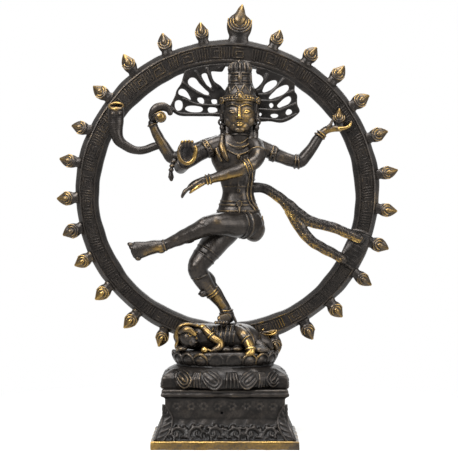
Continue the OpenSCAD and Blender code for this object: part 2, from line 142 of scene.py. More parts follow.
def pellet(bm, middle, radii, turn=(0, 0, 0)):
    """A pressed wax pellet: a ball with three radii, turned by degrees about X, Y and Z."""
    part = bmesh.new()
    fine = min(5, 2 + int(max(radii) / 1.5))
    bmesh.ops.create_uvsphere(part, u_segments=6 * fine, v_segments=4 * fine, radius=1)
    spin = turned(turn[2], "Z") @ turned(turn[1], "Y") @ turned(turn[0], "X")
    put(bm, part, Matrix.Translation(middle) @ spin @ Matrix.Diagonal((*radii, 1)))


def bar(bm, middle, size, turn=None):
    """A straight block with its edges taken off."""
    part = bmesh.new()
    bmesh.ops.create_cube(part, size=1, matrix=Matrix.Diagonal((*size, 1)))
    bmesh.ops.bevel(part, geom=part.edges, offset=0.22 * min(size), affect="EDGES", segments=1, profile=0.5,
                    material=-1)
    put(bm, part, Matrix.Translation(middle) @ (turn or Matrix.Identity(4)))


def hoop_places(middle, axis, width, depth, count):
    """Places evenly round an axis."""
    axis = Vector(axis).normalized()
    across = axis.cross(Vector((0, 1, 0)))
    across = (across if across.length > 0.2 else axis.cross(Vector((0, 0, 1)))).normalized()
    deep = axis.cross(across)
    turns = [2 * math.pi * i / count for i in range(count)]
    return [Vector(middle) + across * width * math.cos(t) + deep * depth * math.sin(t) for t in turns]


def hoop(bm, middle, axis, width, depth, r, count):
    """A bangle or belt round an axis."""
    roll(bm, [(*p, r) for p in hoop_places(middle, axis, width, depth, count)], steps=1, closed=True)


def bangles(bm, count, rows):
    """Round bangles: rows of middle, axis, radius and thickness."""
    for middle, axis, r, thick in rows:
        hoop(bm, middle, axis, r, r, thick, count)


def beads(bm, middle, axis, width, depth, r, count):
    for p in hoop_places(middle, axis, width, depth, count):
        pellet(bm, p, (r, r, r))


def stamp(bm, mesh, matrix):
    """Presses a copy of a small pattern into a piece."""
    copy = mesh.copy()
    copy.transform(matrix)
    bm.from_mesh(copy)
    bpy.data.meshes.remove(copy)


def taken(bm):
    mesh = bpy.data.meshes.new("pattern")
    bm.to_mesh(mesh)
    bm.free()
    return mesh


def baked(mesh, settings):
    """The mesh with a row of modifiers applied."""
    obj = bpy.data.objects.new("work", mesh)
    bpy.context.scene.collection.objects.link(obj)
    for kind, values in settings:
        mod = obj.modifiers.new(kind, kind)
        for name, value in values.items():
            setattr(mod, name, value)
    done = bpy.data.meshes.new_from_object(obj.evaluated_get(bpy.context.evaluated_depsgraph_get()))
    bpy.data.objects.remove(obj)
    bpy.data.meshes.remove(mesh)
    return done


def cut_away(mesh, tool, solver="EXACT"):
    """The mesh with the tool's shape taken out of it."""
    cutter = bpy.data.objects.new("cutter", taken(tool))
    bpy.context.scene.collection.objects.link(cutter)
    mesh = baked(mesh, [("BOOLEAN", {"object": cutter, "operation": "DIFFERENCE", "solver": solver})])
    bpy.data.objects.remove(cutter)
    return mesh


def skin(bm, grain, passes):
    """Fuses the wax in one skin, with fillets where bits meet."""
    return baked(taken(bm), [("REMESH", {"mode": "VOXEL", "voxel_size": grain}),
                             ("SMOOTH", {"factor": 0.5, "iterations": passes})])


def numbers(mesh):
    n = len(mesh.vertices)
    co, normal = np.empty(n * 3), np.empty(n * 3)
    mesh.vertices.foreach_get("co", co)
    mesh.vertices.foreach_get("normal", normal)
    edges = np.empty(len(mesh.edges) * 2, int)
    mesh.edges.foreach_get("vertices", edges)
    return co.reshape(-1, 3), normal.reshape(-1, 3), edges.reshape(-1, 2)


def set_rub(mesh, values, name="rub_and_painted_light"):
    layer = mesh.attributes.new(name, "FLOAT", "POINT")
    layer.data.foreach_set("value", np.clip(values, 0, 1).astype(np.float32))


def hand_rubbed(mesh, gild, spots, ground, reach=12):
    """Rubs the patina through: high places by gild, hollows stay dark, spots are rubbed by hand, and some spots
    also paint a highlight or the light on one side.
    """
    proud = 0.16    # height that is rubbed in full
    co, normal, edges = numbers(mesh)
    n = len(co)
    a, b = edges.T
    links = np.maximum(np.bincount(edges.ravel(), minlength=n), 1)
    low = co.copy()
    for _ in range(reach):
        for k in range(3):
            near = (np.bincount(a, low[b, k], n) + np.bincount(b, low[a, k], n)) / links
            low[:, k] = 0.5 * (low[:, k] + near)
    height = ((co - low) * normal).sum(1)
    height = (height - np.median(height)) / proud
    rub_and_painted_light = ground + 0.24 * np.clip(height, -1, 0) + gild * np.clip(height, 0, 1)
    for x, y, z, r, amount in spots:
        fall = np.exp(-((co - (x, y, z)) ** 2).sum(1) / r ** 2)
        rub_and_painted_light += amount * fall * (0.55 + 0.45 * np.clip(height + 0.5, 0, 1))
    set_rub(mesh, rub_and_painted_light)


def wobble(mesh, amount, wave=9.0):
    """The slight unevenness of sand casting."""
    co, normal = numbers(mesh)[:2]
    draw = np.random.default_rng(len(co))
    swell = np.zeros(len(co))
    for _ in range(7):
        way = draw.normal(size=3)
        way *= 2 * math.pi / wave / np.linalg.norm(way) * draw.uniform(0.7, 1.5)
        swell += np.sin(co @ way + draw.uniform(0, 6.3))
    co += normal * (swell * amount / 3)[:, None]
    mesh.vertices.foreach_set("co", co.ravel())


def set_out(name, mesh, nodes, finish, body="image", rise=0.0, sharp=None):
    """Puts a finished mesh in the scene in metres and ties it to the model."""
    mesh.transform(Matrix.Scale(MM, 4) @ Matrix.Translation((0, 0, rise)))
    mesh.polygons.foreach_set("use_smooth", [True] * len(mesh.polygons))
    if sharp:
        mesh.set_sharp_from_angle(angle=math.radians(sharp))
    mesh.materials.clear()
    mesh.materials.append(finish)
    mesh.name = name
    obj = bpy.data.objects.new(name, mesh)
    bpy.context.scene.collection.objects.link(obj)
    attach(obj, body)
    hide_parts(*nodes)


def cast(name, bm, nodes, finish, gild, grain, spots=(), passes=3, keep=0.5, body="image", rise=BACK,
         uneven=0.14, ground=0.26):
    """Casts a piece: one skin, a little uneven, rubbed, and thinned to a light mesh."""
    mesh = skin(bm, grain, passes)
    wobble(mesh, uneven)
    hand_rubbed(mesh, gild, spots, ground)
    set_out(name, baked(mesh, [("DECIMATE", {"ratio": keep})]), nodes, finish, body, rise)


# Finishes

def linear(code):
    """A colour written as sRGB hex, as linear light."""
    parts = [int(code[i:i + 2], 16) / 255 for i in (1, 3, 5)]
    return (*(c / 12.92 if c <= 0.04045 else ((c + 0.055) / 1.055) ** 2.4 for c in parts), 1)


def add_node(tree, kind, settings=None, sockets=None):
    node = tree.nodes.new("ShaderNode" + kind)
    for name, value in (settings or {}).items():
        setattr(node, name, value)
    for name, value in (sockets or {}).items():
        if isinstance(value, bpy.types.NodeSocket):
            tree.links.new(value, node.inputs[name])
        else:
            node.inputs[name].default_value = value
    return node


def antique_brass(name, tones, lift):
    """Sand-cast brass, blackened and rubbed back: a near-black skin with a hard sheen on plain faces, brown
    where it thins, and warm bright metal on the high places."""
    mat = bpy.data.materials.new(name)
    mat.use_nodes = True
    tree = mat.node_tree
    tree.nodes.clear()
    place = add_node(tree, "TexCoord").outputs["Object"]
    rub_and_painted_light = add_node(tree, "Attribute", {"attribute_name": "rub_and_painted_light"}).outputs["Fac"]
    # Width in metres of the clouds of patina, rubbing marks and casting grain, and how far the first two shift it
    cloud_size, mark_size, grain_size, shift = 0.007, 0.0013, 0.0008, 0.34
    cloud = add_node(tree, "TexNoise", None,
                     {"Vector": place, "Scale": 1 / cloud_size, "Detail": 3.0, "Roughness": 0.6}).outputs["Fac"]
    mark = add_node(tree, "TexNoise", None,
                    {"Vector": place, "Scale": 1 / mark_size, "Detail": 2.0, "Roughness": 0.6}).outputs["Fac"]
    spread = add_node(tree, "Math", {"operation": "MULTIPLY_ADD"}, {0: cloud, 1: shift, 2: rub_and_painted_light}).outputs[0]
    worn = add_node(tree, "Math", {"operation": "MULTIPLY_ADD"}, {0: mark, 1: shift, 2: spread}).outputs[0]
    worn = add_node(tree, "Math", {"operation": "ADD"}, {0: worn, 1: lift - shift}).outputs[0]
    colour = add_node(tree, "ValToRGB", None, {"Fac": worn})
    ramp = colour.color_ramp
    while len(ramp.elements) < len(tones):
        ramp.elements.new(0.5)
    for element, (at, code) in zip(ramp.elements, tones):
        element.position = at
        element.color = linear(code)
    metal = add_node(tree, "MapRange", None,
                     {"Value": worn, "From Min": 0.3, "From Max": 0.7, "To Min": 0.7, "To Max": 1.0})
    rough = add_node(tree, "MapRange", None,
                     {"Value": worn, "From Min": 0.05, "From Max": 0.8, "To Min": 0.37, "To Max": 0.26})
    # Joint faces and the back of the ring are left dull from the file
    dull = add_node(tree, "Attribute", {"attribute_name": "dull"}).outputs["Fac"]
    rough = add_node(tree, "Math", {"operation": "MULTIPLY_ADD"}, {0: dull, 1: 0.4, 2: rough.outputs[0]})
    # Casting grain, drawn coarse so that it shows
    grain = add_node(tree, "TexNoise", None, {"Vector": place, "Scale": 1 / grain_size, "Detail": 2.0})
    bump = add_node(tree, "Bump", None,
                    {"Strength": 0.4, "Distance": 0.00014, "Height": grain.outputs["Fac"]})
    shader = add_node(tree, "BsdfPrincipled", None,
                      {"Base Color": colour.outputs["Color"], "Metallic": metal.outputs[0],
                       "Roughness": rough.outputs[0], "Normal": bump.outputs["Normal"]})
    add_node(tree, "OutputMaterial", None, {"Surface": shader.outputs[0]})
    return mat


dark_tones = [(0.0, "#0b0908"), (0.16, "#191614"), (0.34, "#302b27"), (0.45, "#4c4132"), (0.56, "#675332"),
              (0.74, "#927744"), (0.97, "#c6aa6e")]
patina = antique_brass("blackened_cast_brass", dark_tones, 0.0)
rubbed = antique_brass("blackened_brass_rubbed_back", dark_tones, 0.06)


# Plinth and seat

def rectangle_course(bm, rows, solid=False):
    """A moulding on a rectangle: rows of half width, half depth and height, closed on itself unless solid."""
    part = bmesh.new()
    start = rows[0]
    ring = bmesh.ops.create_circle(part, segments=4, radius=math.sqrt(2), cap_ends=False,
                                   matrix=turned(45, "Z"))["verts"]
    edges = first = list(part.edges)
    bmesh.ops.transform(part, matrix=Matrix.Translation((0, 0, start[2])) @ Matrix.Diagonal((*start[:2], 1, 1)),
                        verts=ring)
    was = start
    for row in rows[1:]:
        ring, edges = pulled(part, edges)
        scale = Matrix.Diagonal((row[0] / was[0], row[1] / was[1], 1, 1))
        bmesh.ops.transform(part, matrix=Matrix.Translation((0, 0, row[2])) @ scale
                            @ Matrix.Translation((0, 0, -was[2])), verts=ring)
        was = row
    if solid:
        bmesh.ops.holes_fill(part, edges=part.edges, sides=4)
    else:
        bmesh.ops.bridge_loops(part, edges=first + edges)
    bmesh.ops.recalc_face_normals(part, faces=part.faces)
    put(bm, part, Matrix.Translation((SEAT_X, 0, 0)))


def flare_at(v):
    """Half width and half depth of the flared course, a height above the slab."""
    drawn_in = 5.6 * min(v / 13, 1)
    return 44.85 - drawn_in, 28.6 - drawn_in


def oval_place(width, depth, turn, square):
    """A place on an oval, squarer when square is under 1, and the way out from it."""
    c, s = math.cos(turn), math.sin(turn)
    x = width * math.copysign(abs(c) ** square, c)
    y = depth * math.copysign(abs(s) ** square, s)
    out = Vector((x / width ** 2, y / depth ** 2, 0)).normalized()
    return Vector((SEAT_X + x, y, 0)), out


def out_matrix(spot, out, z, lean):
    """Places a pattern drawn in X and Z, facing -Y, on a side that faces out."""
    turn = math.atan2(out.y, out.x) + math.pi / 2
    return Matrix.Translation((spot.x, spot.y, z)) @ Matrix.Rotation(turn, 4, "Z") @ turned(lean, "X")


def leaf_spray():
    """A leaf scroll: a stem that curls in on itself, with lobes that peel off its outer side."""
    bm = bmesh.new()
    stem = [(-5.2, 0.2, 0, 0.9), (-5, -0.3, 3.4, 1.1), (-3, -0.7, 6.8, 1.2), (0.4, -0.9, 8, 1.2),
            (3.4, -0.9, 6.6, 1.1), (4, -0.8, 3.8, 1.0), (2.2, -0.8, 2.2, 0.9), (0.2, -0.8, 3.2, 0.8),
            (0.6, -0.8, 5, 0.7)]
    roll(bm, stem, steps=3)
    for start, bend, tip in (((-5.1, 1.6), (-6.6, 3), (-7, 5.4)), ((-4.4, 4.8), (-5.6, 6.8), (-4.9, 9)),
                             ((-1.6, 7.6), (-1.4, 9.3), (0.4, 10.4)), ((2.2, 7.6), (4.2, 8.6), (6.2, 7.6)),
                             ((4, 4.8), (6, 4.2), (6.6, 2)), ((2.8, 2.4), (3.2, 0.8), (2, -0.4)),
                             ((-4.8, 0.6), (-2.8, 1.8), (-1, 0.4))):
        roll(bm, [(x, y, z, r) for (x, z), y, r in ((start, -0.3, 0.7), (bend, -0.9, 1.05), (tip, -0.1, 0.5))],
             steps=3)
    pellet(bm, (0.4, 0.2, 4.2), (3.6, 0.9, 3.4))
    return taken(bm)


def plinth():
    bm = bmesh.new()
    outer = [(48.25, 32.0, 0), (48.25, 32.0, 5.1), (47.6, 31.3, 5.8), (45.2, 28.9, 5.9), (44.6, 28.4, 7.5),
             (42.6, 26.4, 11), (40.4, 24.2, 15.5), (39.4, 23.1, 19), (39.1, 22.8, 26), (39.3, 23, 32),
             (40.0, 23.8, 32.8), (41.9, 25.6, 34), (41.75, 25.5, 35.4), (41.2, 24.9, 35.9), (41.3, 25.1, 37.4),
             (40.8, 24.6, 38.1), (17.4, 11.4, 38.1), (17.4, 11.4, 33.1), (35.2, 19, 33.1), (35.2, 19, 0)]
    rectangle_course(bm, outer)
    spray = leaf_spray()
    scroll_step, rosette_step = 12, 9
    for out, half, reach in (((0, -1, 0), 28.4, 36), ((1, 0, 0), 44.4, 20), ((0, 1, 0), 28.4, 36),
                             ((-1, 0, 0), 44.4, 20)):
        out = Vector(out)
        along = Vector((-out.y, out.x, 0))
        # Leaf scrolls low on the flared course
        count = round(reach * 2 / scroll_step)
        for i in range(count):
            spot = Vector((SEAT_X, 0, 0)) + out * half + along * (i - (count - 1) / 2) * scroll_step
            size = Matrix.Diagonal((0.96 if i % 2 else -0.96, 1.0, chance.uniform(0.92, 1.04), 1))
            stamp(bm, spray, out_matrix(spot, out, 6.2, -23) @ turned(chance.uniform(-14, 14), "Y") @ size)
        # Worn rosettes under the cornice
        count = round(reach * 2 / rosette_step)
        for i in range(count):
            shift = (i - (count - 1) / 2) * rosette_step + chance.uniform(-0.6, 0.6)
            spot = Vector((SEAT_X, 0, 27.2)) + out * (half - 5.7) + along * shift
            for p in hoop_places(spot, out, 1.9, 1.9, 6):
                pellet(bm, p - out * 0.3, (1.0, 1.0, 1.0))
    mesh = skin(bm, 0.5, 2)
    wobble(mesh, 0.18)
    hand_rubbed(mesh, 0.1, [], 0.22)
    co = numbers(mesh)[0]
    # The foot is ground flat
    co[:, 2] = np.maximum(co[:, 2], 0)
    mesh.vertices.foreach_set("co", co.astype(np.float32).ravel())
    aside, deep, up = np.abs(co[:, 0] - SEAT_X), np.abs(co[:, 1]), co[:, 2]
    rub_and_painted_light = np.empty(len(co), np.float32)
    mesh.attributes["rub_and_painted_light"].data.foreach_get("value", rub_and_painted_light)
    # The leaf course is the darkest
    rub_and_painted_light -= 0.15 * np.clip((17 - up) / 6, 0, 1)
    # The slab's edge is polished, and painted with a highlight, along its top; it is dulled in patches below and a
    # little lighter towards the left
    edge = np.clip((6.1 - up) / 0.6, 0, 1) * ((deep > 24.5) | (aside > 40.8))
    patches = 0.5 + 0.5 * np.sin(co[:, 0] * 0.11 + 1.9) * np.sin(co[:, 0] * 0.043 + co[:, 1] * 0.1 + 0.4)
    polish_and_highlight = 0.42 + 0.2 * patches - 0.07 * np.clip(co[:, 0] / 40, -1, 1) + 0.14 * np.clip((up - 3.6) / 1.6, 0, 1)
    rub_and_painted_light = rub_and_painted_light * (1 - edge) + edge * polish_and_highlight
    mesh.attributes["rub_and_painted_light"].data.foreach_set("value", np.clip(rub_and_painted_light, 0, 1).astype(np.float32))
    # The joint face under the seat
    set_rub(mesh, (up > 37.6) & (aside < 40.4) & (deep < 24.2), "dull")
    mesh = baked(mesh, [("DECIMATE", {"ratio": 0.4})])
    # The vent is drilled after casting
    drill = bmesh.new()
    bmesh.ops.create_cone(drill, cap_ends=True, segments=20, radius1=0.9, radius2=0.9, depth=12,
                          matrix=Matrix.Translation((SEAT_X - 2, -22, 22.8)) @ turned(90, "X"))
    set_out("plinth_casting", cut_away(mesh, drill, "FAST"), ["plinth"], patina, "base")


def corner_leaves():
    bm = bmesh.new()
    half = [(0, 5.0), (5, 6.6), (10, 6.4), (15, 4.8), (19.5, 2.4), (22.4, 0.5)]
    for sx in (-1, 1):
        for sy in (-1, 1):
            def front(u, v, w):
                w2, d2 = flare_at(v)
                return SEAT_X + sx * (w2 - u), sy * (d2 + w), SLAB_H + v

            def side(u, v, w):
                w2, d2 = flare_at(v)
                return SEAT_X + sx * (w2 + w), sy * (d2 - u), SLAB_H + v
            # The rib stands on the corner and curls outwards at its tip
            rib = [(v, 0.9 + 0.25 * math.sin(v / 7)) for v in (0.5, 6, 11, 16, 20, 22.5)]
            roll(bm, [(*(Vector(front(0, v, w)) + Vector((sx * w, 0, 0))), 1.0 - v * 0.022) for v, w in rib],
                 sides=10)
            for blade, flat in ((front, False), (side, True)):
                rows = []
                for v, wide in half:
                    size = (0.85, wide / 2) if flat else (wide / 2, 0.85)
                    rows.append((*blade(wide / 2 - 0.3, v, 0.6), *size))
                roll(bm, rows, sides=12, steps=3)
                roll(bm, [(*blade(wide - 0.3, v, 1.2), 0.62) for v, wide in half], steps=3)
                for v in (1.5, 5, 8.5, 12, 15.5, 18.2):
                    wide = np.interp(v + 3.2, [h[0] for h in half], [h[1] for h in half])
                    roll(bm, [(*blade(0.3, v, 1.3), 0.5), (*blade(wide * 0.5, v + 1.2, 1.55), 0.5),
                              (*blade(wide - 0.4, v + 3.2, 1.2), 0.4)], steps=3)
    cast("corner_leaf_set", bm, ["corner_leaves"], patina, gild=0.09, grain=0.36, passes=2, body="base",
         rise=0, uneven=0.05, ground=0.2)


def big_petal():
    """A lotus petal that sweeps down to one side: a raised leaf with rolled lines bent round its end."""
    bm = bmesh.new()
    fall = 35
    sweep = math.radians(fall)
    along = Vector((math.cos(sweep), 0, -math.sin(sweep)))
    over = Vector((math.sin(sweep), 0, math.cos(sweep)))
    pellet(bm, (0, 1.2, 0), (7.6, 2.4, 5.4), (0, fall, 0))
    rib = ((-6, 0.2, 0.4), (-3, -1.2, 0.9), (0.6, -1.6, 1.1), (3, -1.2, 0.6))
    roll(bm, [(*(along * u + Vector((0, y, 0))), r) for u, y, r in rib], sides=10)
    for wide in (2.7, 4.7):
        bend = [(-6.2 + 0.3 * wide, 0.9, 0.35), (-1, 1.05, 0.55), (2.4, 1, 0.6), (2.4 + 0.72 * wide, 0.72, 0.62),
                (2.4 + wide, 0, 0.62), (2.4 + 0.72 * wide, -0.72, 0.62), (2.4, -1, 0.6), (-1, -0.95, 0.55),
                (-4.4, -0.7, 0.35)]
        line = []
        for u, v, r in bend:
            crown = math.sqrt(max(0, 1 - (u / 8.4) ** 2 - (v * wide / 6) ** 2))
            line.append((*(along * u + over * v * wide + Vector((0, 0.5 - 2.2 * crown, 0))), r))
        roll(bm, line, steps=3)
    return taken(bm)


def small_petal():
    """An upright petal of the upper row: a soft leaf under a rolled arch."""
    bm = bmesh.new()
    roll(bm, [(0, 0.6, -4, 3.2, 1.0), (0, 0.2, -0.8, 3.6, 1.6), (0, 0.5, 1.8, 2.8, 1.1), (0, 0.8, 3.2, 1.2, 0.7)],
         sides=14, steps=3)
    roll(bm, [(-3.7, 0.2, -3.8, 0.5), (-4.1, -0.5, -0.8, 0.65), (-3.0, -0.9, 1.9, 0.75), (0, -1.0, 3.6, 0.85),
              (3.0, -0.9, 1.9, 0.75), (4.1, -0.5, -0.8, 0.65), (3.7, 0.2, -3.8, 0.5)])
    return taken(bm)


def oval_cushion(bm, rows, square):
    """An oval cushion with filled corners, by height, half width and half depth. Its foot rises at the ends."""
    part = bmesh.new()
    roll(part, [(0, 0, z, wide, deep) for z, wide, deep in rows], sides=72, steps=1, ends="flat")
    heights = [row[0] for row in rows]
    for v in part.verts:
        wide, deep = (float(np.interp(v.co.z, heights, [row[k] for row in rows])) for k in (1, 2))
        c, s = v.co.x / wide, v.co.y / deep
        r = math.hypot(c, s)
        if r > 0.01:
            v.co.x = wide * r * math.copysign(abs(c / r) ** square, c)
            v.co.y = deep * r * math.copysign(abs(s / r) ** square, s)
        v.co.z += 3.2 * (v.co.x / 40) ** 2 * min(max((46 - v.co.z) / 7.5, 0), 1)
    put(bm, part, Matrix.Translation((SEAT_X, 0, 0)))


def lotus_seat():
    bm = bmesh.new()
    # Block with plain corners, and the petal cushion, waist and upper row that rise from it
    rectangle_course(bm, [(41.6, 19.4, 38.35), (41.9, 19.6, 39), (41, 19.1, 44.8), (40.2, 18.5, 46.6),
                          (38, 16.8, 48.4), (34, 13, 50.6)], solid=True)
    oval_cushion(bm, [(38.5, 38, 26.4), (39.4, 39.2, 27.7), (42, 40, 28.4), (45.4, 39.8, 28), (48.4, 38, 26.4),
                      (50.4, 35.4, 24.2), (52, 33, 22)], 0.86)
    waist = ((50, 33.4, 22.2), (52, 32.8, 21.8), (53.4, 32.4, 21.4), (54.6, 33.4, 22.4), (60.6, 33.4, 22.4),
             (61.9, 32.6, 21.6), (62.2, 31, 20.4))
    roll(bm, [(SEAT_X, 0, z, wide, deep) for z, wide, deep in waist], sides=72, steps=1, ends="flat")
    bar(bm, (SEAT_X, 0, 32), (34, 22, 19.4))
    petal, bud = big_petal(), small_petal()
    # Petals round the cushion, with flutes between them
    cushion, square = (39.6, 28), 0.86
    count = 12
    for i in range(count):
        turn = 2 * math.pi * (i + 0.67) / count
        spot, out = oval_place(*cushion, turn, square)
        near = (spot.x / 40) ** 2
        size = chance.uniform(0.98, 1.08) - 0.2 * near
        worn = 0.55 if abs(spot.x) < 16 else 1.1
        side = math.copysign(size, spot.x * spot.y)
        if abs(spot.x - SEAT_X) < 36:
            size = Matrix.Diagonal((side, worn, size, 1))
            stamp(bm, petal, out_matrix(spot, out, 44.9, -14 - 12 * near) @ size)
        lean = chance.uniform(-0.35, 0.35)
        for k in range(4):
            spot, out = oval_place(*cushion, turn + math.pi / count + (k - 1.5) * 0.05, square)
            sway = out.cross(Vector((0, 0, 1))) * (lean + 0.25 * (k - 1.5))
            flute = ((0.2, -1, 40, 0.55), (0.7, 0, 43, 0.7), (0.3, 1, 46.2, 0.7), (-2.2, 2, 49.2, 0.5))
            roll(bm, [(*(spot + out * grow + sway * s).xy, z, r) for grow, s, z, r in flute], steps=3)
    for sx in (-1, 1):
        for sy in (-1, 1):
            spot, out = Vector((SEAT_X + sx * 40.9, sy * 8.6, 0)), Vector((sx, 0, 0))
            size = Matrix.Diagonal((sx * sy * 0.94, 0.6, 0.74, 1))
            stamp(bm, petal, out_matrix(spot, out, 42.9, -14) @ size)
    count = 20
    for i in range(count):
        spot, out = oval_place(33.4, 22.5, 2 * math.pi * (i + 0.5) / count, 0.94)
        worn = 0.4 if abs(spot.x + 1) < 10 else 1.15
        size = Matrix.Diagonal((chance.uniform(1.0, 1.16), worn, chance.uniform(0.88, 1.0), 1))
        stamp(bm, bud, out_matrix(spot, out, 57.8, 8) @ size)
    tips = ((-31, 0.06), (-22.5, 0.26), (-13, 0.14), (-5, -0.04), (4, -0.06), (13, 0.04), (20, 0.34), (29, 0.22))
    spots = [(SEAT_X + x, -24.5, 60, 5.5, amount) for x, amount in tips]
    # The spot on the left cushion petal paints the light that falls on it from the left; the spot in the middle
    # darkens the cushion's petals.
    spots += [(-27, -26, 45, 7, 0.1), (SEAT_X, -28, 45, 9, -0.08)]
    cast("lotus_seat_casting", bm, ["lotus_seat"], patina, gild=0.14, spots=spots, grain=0.38, passes=1, keep=0.3,
         rise=0, ground=0.2)


def dwarf():
    bm = bmesh.new()
    roll(bm, [(-29.5, -3.4, 70.6, 7.8, 6.6), (-22, -4.6, 71, 8.6, 8.4), (-10, -5, 71, 8.8, 9.2),
              (2, -5, 71, 8.8, 9.2), (10, -5, 70.9, 8.8, 9), (15.4, -5, 69.4, 7.6, 8.2),
              (19.4, -5, 66.2, 4.4, 6.6)], sides=20)
    pellet(bm, (9, -6.6, 71.4), (8.6, 8.6, 8.2))
    pellet(bm, (-17.6, -6.4, 72), (6.6, 7.4, 7.4))
    # Folds of the cloth over the back
    for k in range(6):
        x = -10.4 + 2.9 * k
        roll(bm, [(x + lean, -5 - 9.3 * math.sin(a), 71 + 8.9 * math.cos(a), 0.55) for lean, a in
                  ((1.4, 0.5), (0.9, 0.95), (0.2, 1.4), (-0.2, 1.85))])
    # Head in half profile, calm, with the far hand at the brow
    face = bmesh.new()
    pellet(face, (0, 0, 0), (6.4, 6.2, 6.8))
    pellet(face, (0, -3.8, -2.8), (4.4, 2.8, 3.6))
    roll(face, [(0, -5.8, 1.6, 0.7), (0, -6.6, 0, 0.9), (0, -7.2, -1.2, 1.1)])
    roll(face, [(-1.8, -5.9, -3.4, 0.4), (0, -6.6, -3.6, 0.6), (1.8, -5.9, -3.4, 0.4)])
    for s in (-1, 1):
        pellet(face, (s * 2.6, -5.2, 1), (1.5, 0.8, 0.7))
        roll(face, [(s * 0.9, -6, 2.3, 0.45), (s * 2.8, -5.9, 3, 0.55), (s * 4.6, -4.6, 2.2, 0.45)])
    put(bm, face, Matrix.Translation((-25.2, -10.6, 70.8)) @ turned(44, "Z") @ turned(-10, "X"))
    roll(bm, [(-31, -14.4, 74.6, 1.5), (-28, -16.4, 76.6, 1.8), (-24, -17.2, 76.2, 1.9), (-21.2, -17.4, 73.6, 1.5)],
         sides=10)
    # Hair over the head and down to the seat
    for k in range(4):
        y = -7.4 + 2.3 * k
        roll(bm, [(-20 + k, y - 4, 79 - 0.4 * k, 1.1), (-26, y - 3.6, 79.8 - 0.3 * k, 1.3), (-31.4, y - 3, 78, 1.4),
                  (-33.6, y - 2.6, 73.4, 1.4), (-32.8, y - 2.8, 69, 1.3), (-33.8, y - 3, 65.6, 1.2),
                  (-33, y - 3.6, 62.6, 1.0)], sides=10)
    # Near arm bent back to the chin, with a ball in the hand
    roll(bm, [(-15.4, -11.6, 77.6, 2.4), (-12.6, -13.4, 74.6, 2.6), (-8.6, -15.2, 70.8, 2.7),
              (-4.6, -16.4, 68, 2.7), (-5.2, -17.4, 65.2, 2.4), (-8.6, -18, 63.6, 2.1)], sides=14)
    pellet(bm, (-16, -11.4, 78.2), (3, 2.8, 2.1))
    hoop(bm, (-10.4, -14.4, 72.6), (0.65, -0.3, -0.7), 3.1, 3.1, 0.6, 18)
    for i in range(4):
        roll(bm, [(-8, -19.4 + i * 1.2, 63.8, 0.8), (-10.6, -19.8 + i * 1.2, 63.2, 0.8),
                  (-12.4, -19.6 + i * 1.2, 64, 0.6)])
    pellet(bm, (-14.8, -18.8, 63.6), (2.5, 2.3, 2.3))
    # Near leg with its knee to the front, foot over the seat's edge, and a fold of cloth behind it
    roll(bm, [(7.4, -11, 75.8, 3.4), (10.6, -14.4, 72.8, 3.6), (13.4, -17, 69, 3.4), (15.2, -18.8, 65.2, 3.1),
              (15.6, -20.4, 62.4, 2.6), (13.6, -21.6, 61.2, 2.1)], sides=14)
    bangles(bm, 18, [((12.6, -16.4, 70), (0.6, -0.45, -0.65), 3.7, 0.55),
                     ((15.3, -19.2, 64.2), (0.1, -0.4, -0.9), 3.3, 0.6)])
    roll(bm, [(8.6, -8.6, 78.6, 1.3), (12.8, -11.6, 76, 1.4), (16.4, -13.8, 71.4, 1.3), (17.6, -15, 67, 1.1)],
         sides=10)
    # Far leg under its drapery, and the foot
    roll(bm, [(16, -6, 68, 5), (20, -9, 66, 4.2), (23, -12, 64.6, 3)], sides=14)
    roll(bm, [(13, -1.6, 70.6, 5), (20, -1.3, 68.4, 4.9), (26.2, -1, 66.4, 3.9), (28.6, -1.4, 63.6, 2.4)], sides=14)
    for k in range(3):
        roll(bm, [(16 + 3 * k, -5.4 + 0.2 * k, 71.4 - 1.6 * k, 0.7),
                  (20 + 2.4 * k, -6 + 0.8 * k, 67.4 - 1.6 * k, 0.8), (21 + 2.6 * k, -6.4 + k, 63.4, 0.6)])
    pellet(bm, (21.4, -13.4, 63.4), (5.8, 4, 3), (0, 10, 0))
    roll(bm, [(18.4, -16.4, 64, 1.6), (22, -17.4, 63.2, 1.8), (26.4, -15.6, 63.2, 1.5)], sides=12)
    for x, y, z, wide in ((-30, -12, 63.8, 4), (-1, -14.6, 63.4, 4.6), (6.4, -14.4, 63.8, 4)):
        pellet(bm, (x, y, z), (wide, 3.6, 2), (0, 0, x))
    spots = [(-5, -18, 69, 4.6, 0.44), (-11, -16, 74, 4, 0.36), (13.6, -19.5, 69, 3.6, 0.34),
             (15.8, -21.5, 63.8, 4.2, 0.5), (10, -16, 74, 3.6, 0.26), (16, -15, 72, 3, 0.16),
             (-14.8, -21, 64, 3, 0.44), (-25, -18.6, 76.4, 3.6, 0.28), (-21, -18.4, 72.6, 3, 0.3),
             (-33.8, -10, 74, 4.6, 0.24), (-33.8, -10.5, 65, 4.6, 0.22), (-17, -13, 79, 3.6, 0.36),
             (-27, -13, 79.4, 3.6, 0.22), (0, -15, 68, 4.5, -0.2), (-20, -14, 65, 5, -0.2)]
    cast("dwarf_casting", bm, ["dwarf"], patina, gild=0.24, grain=0.36, spots=spots, rise=0)


# Ring and flames

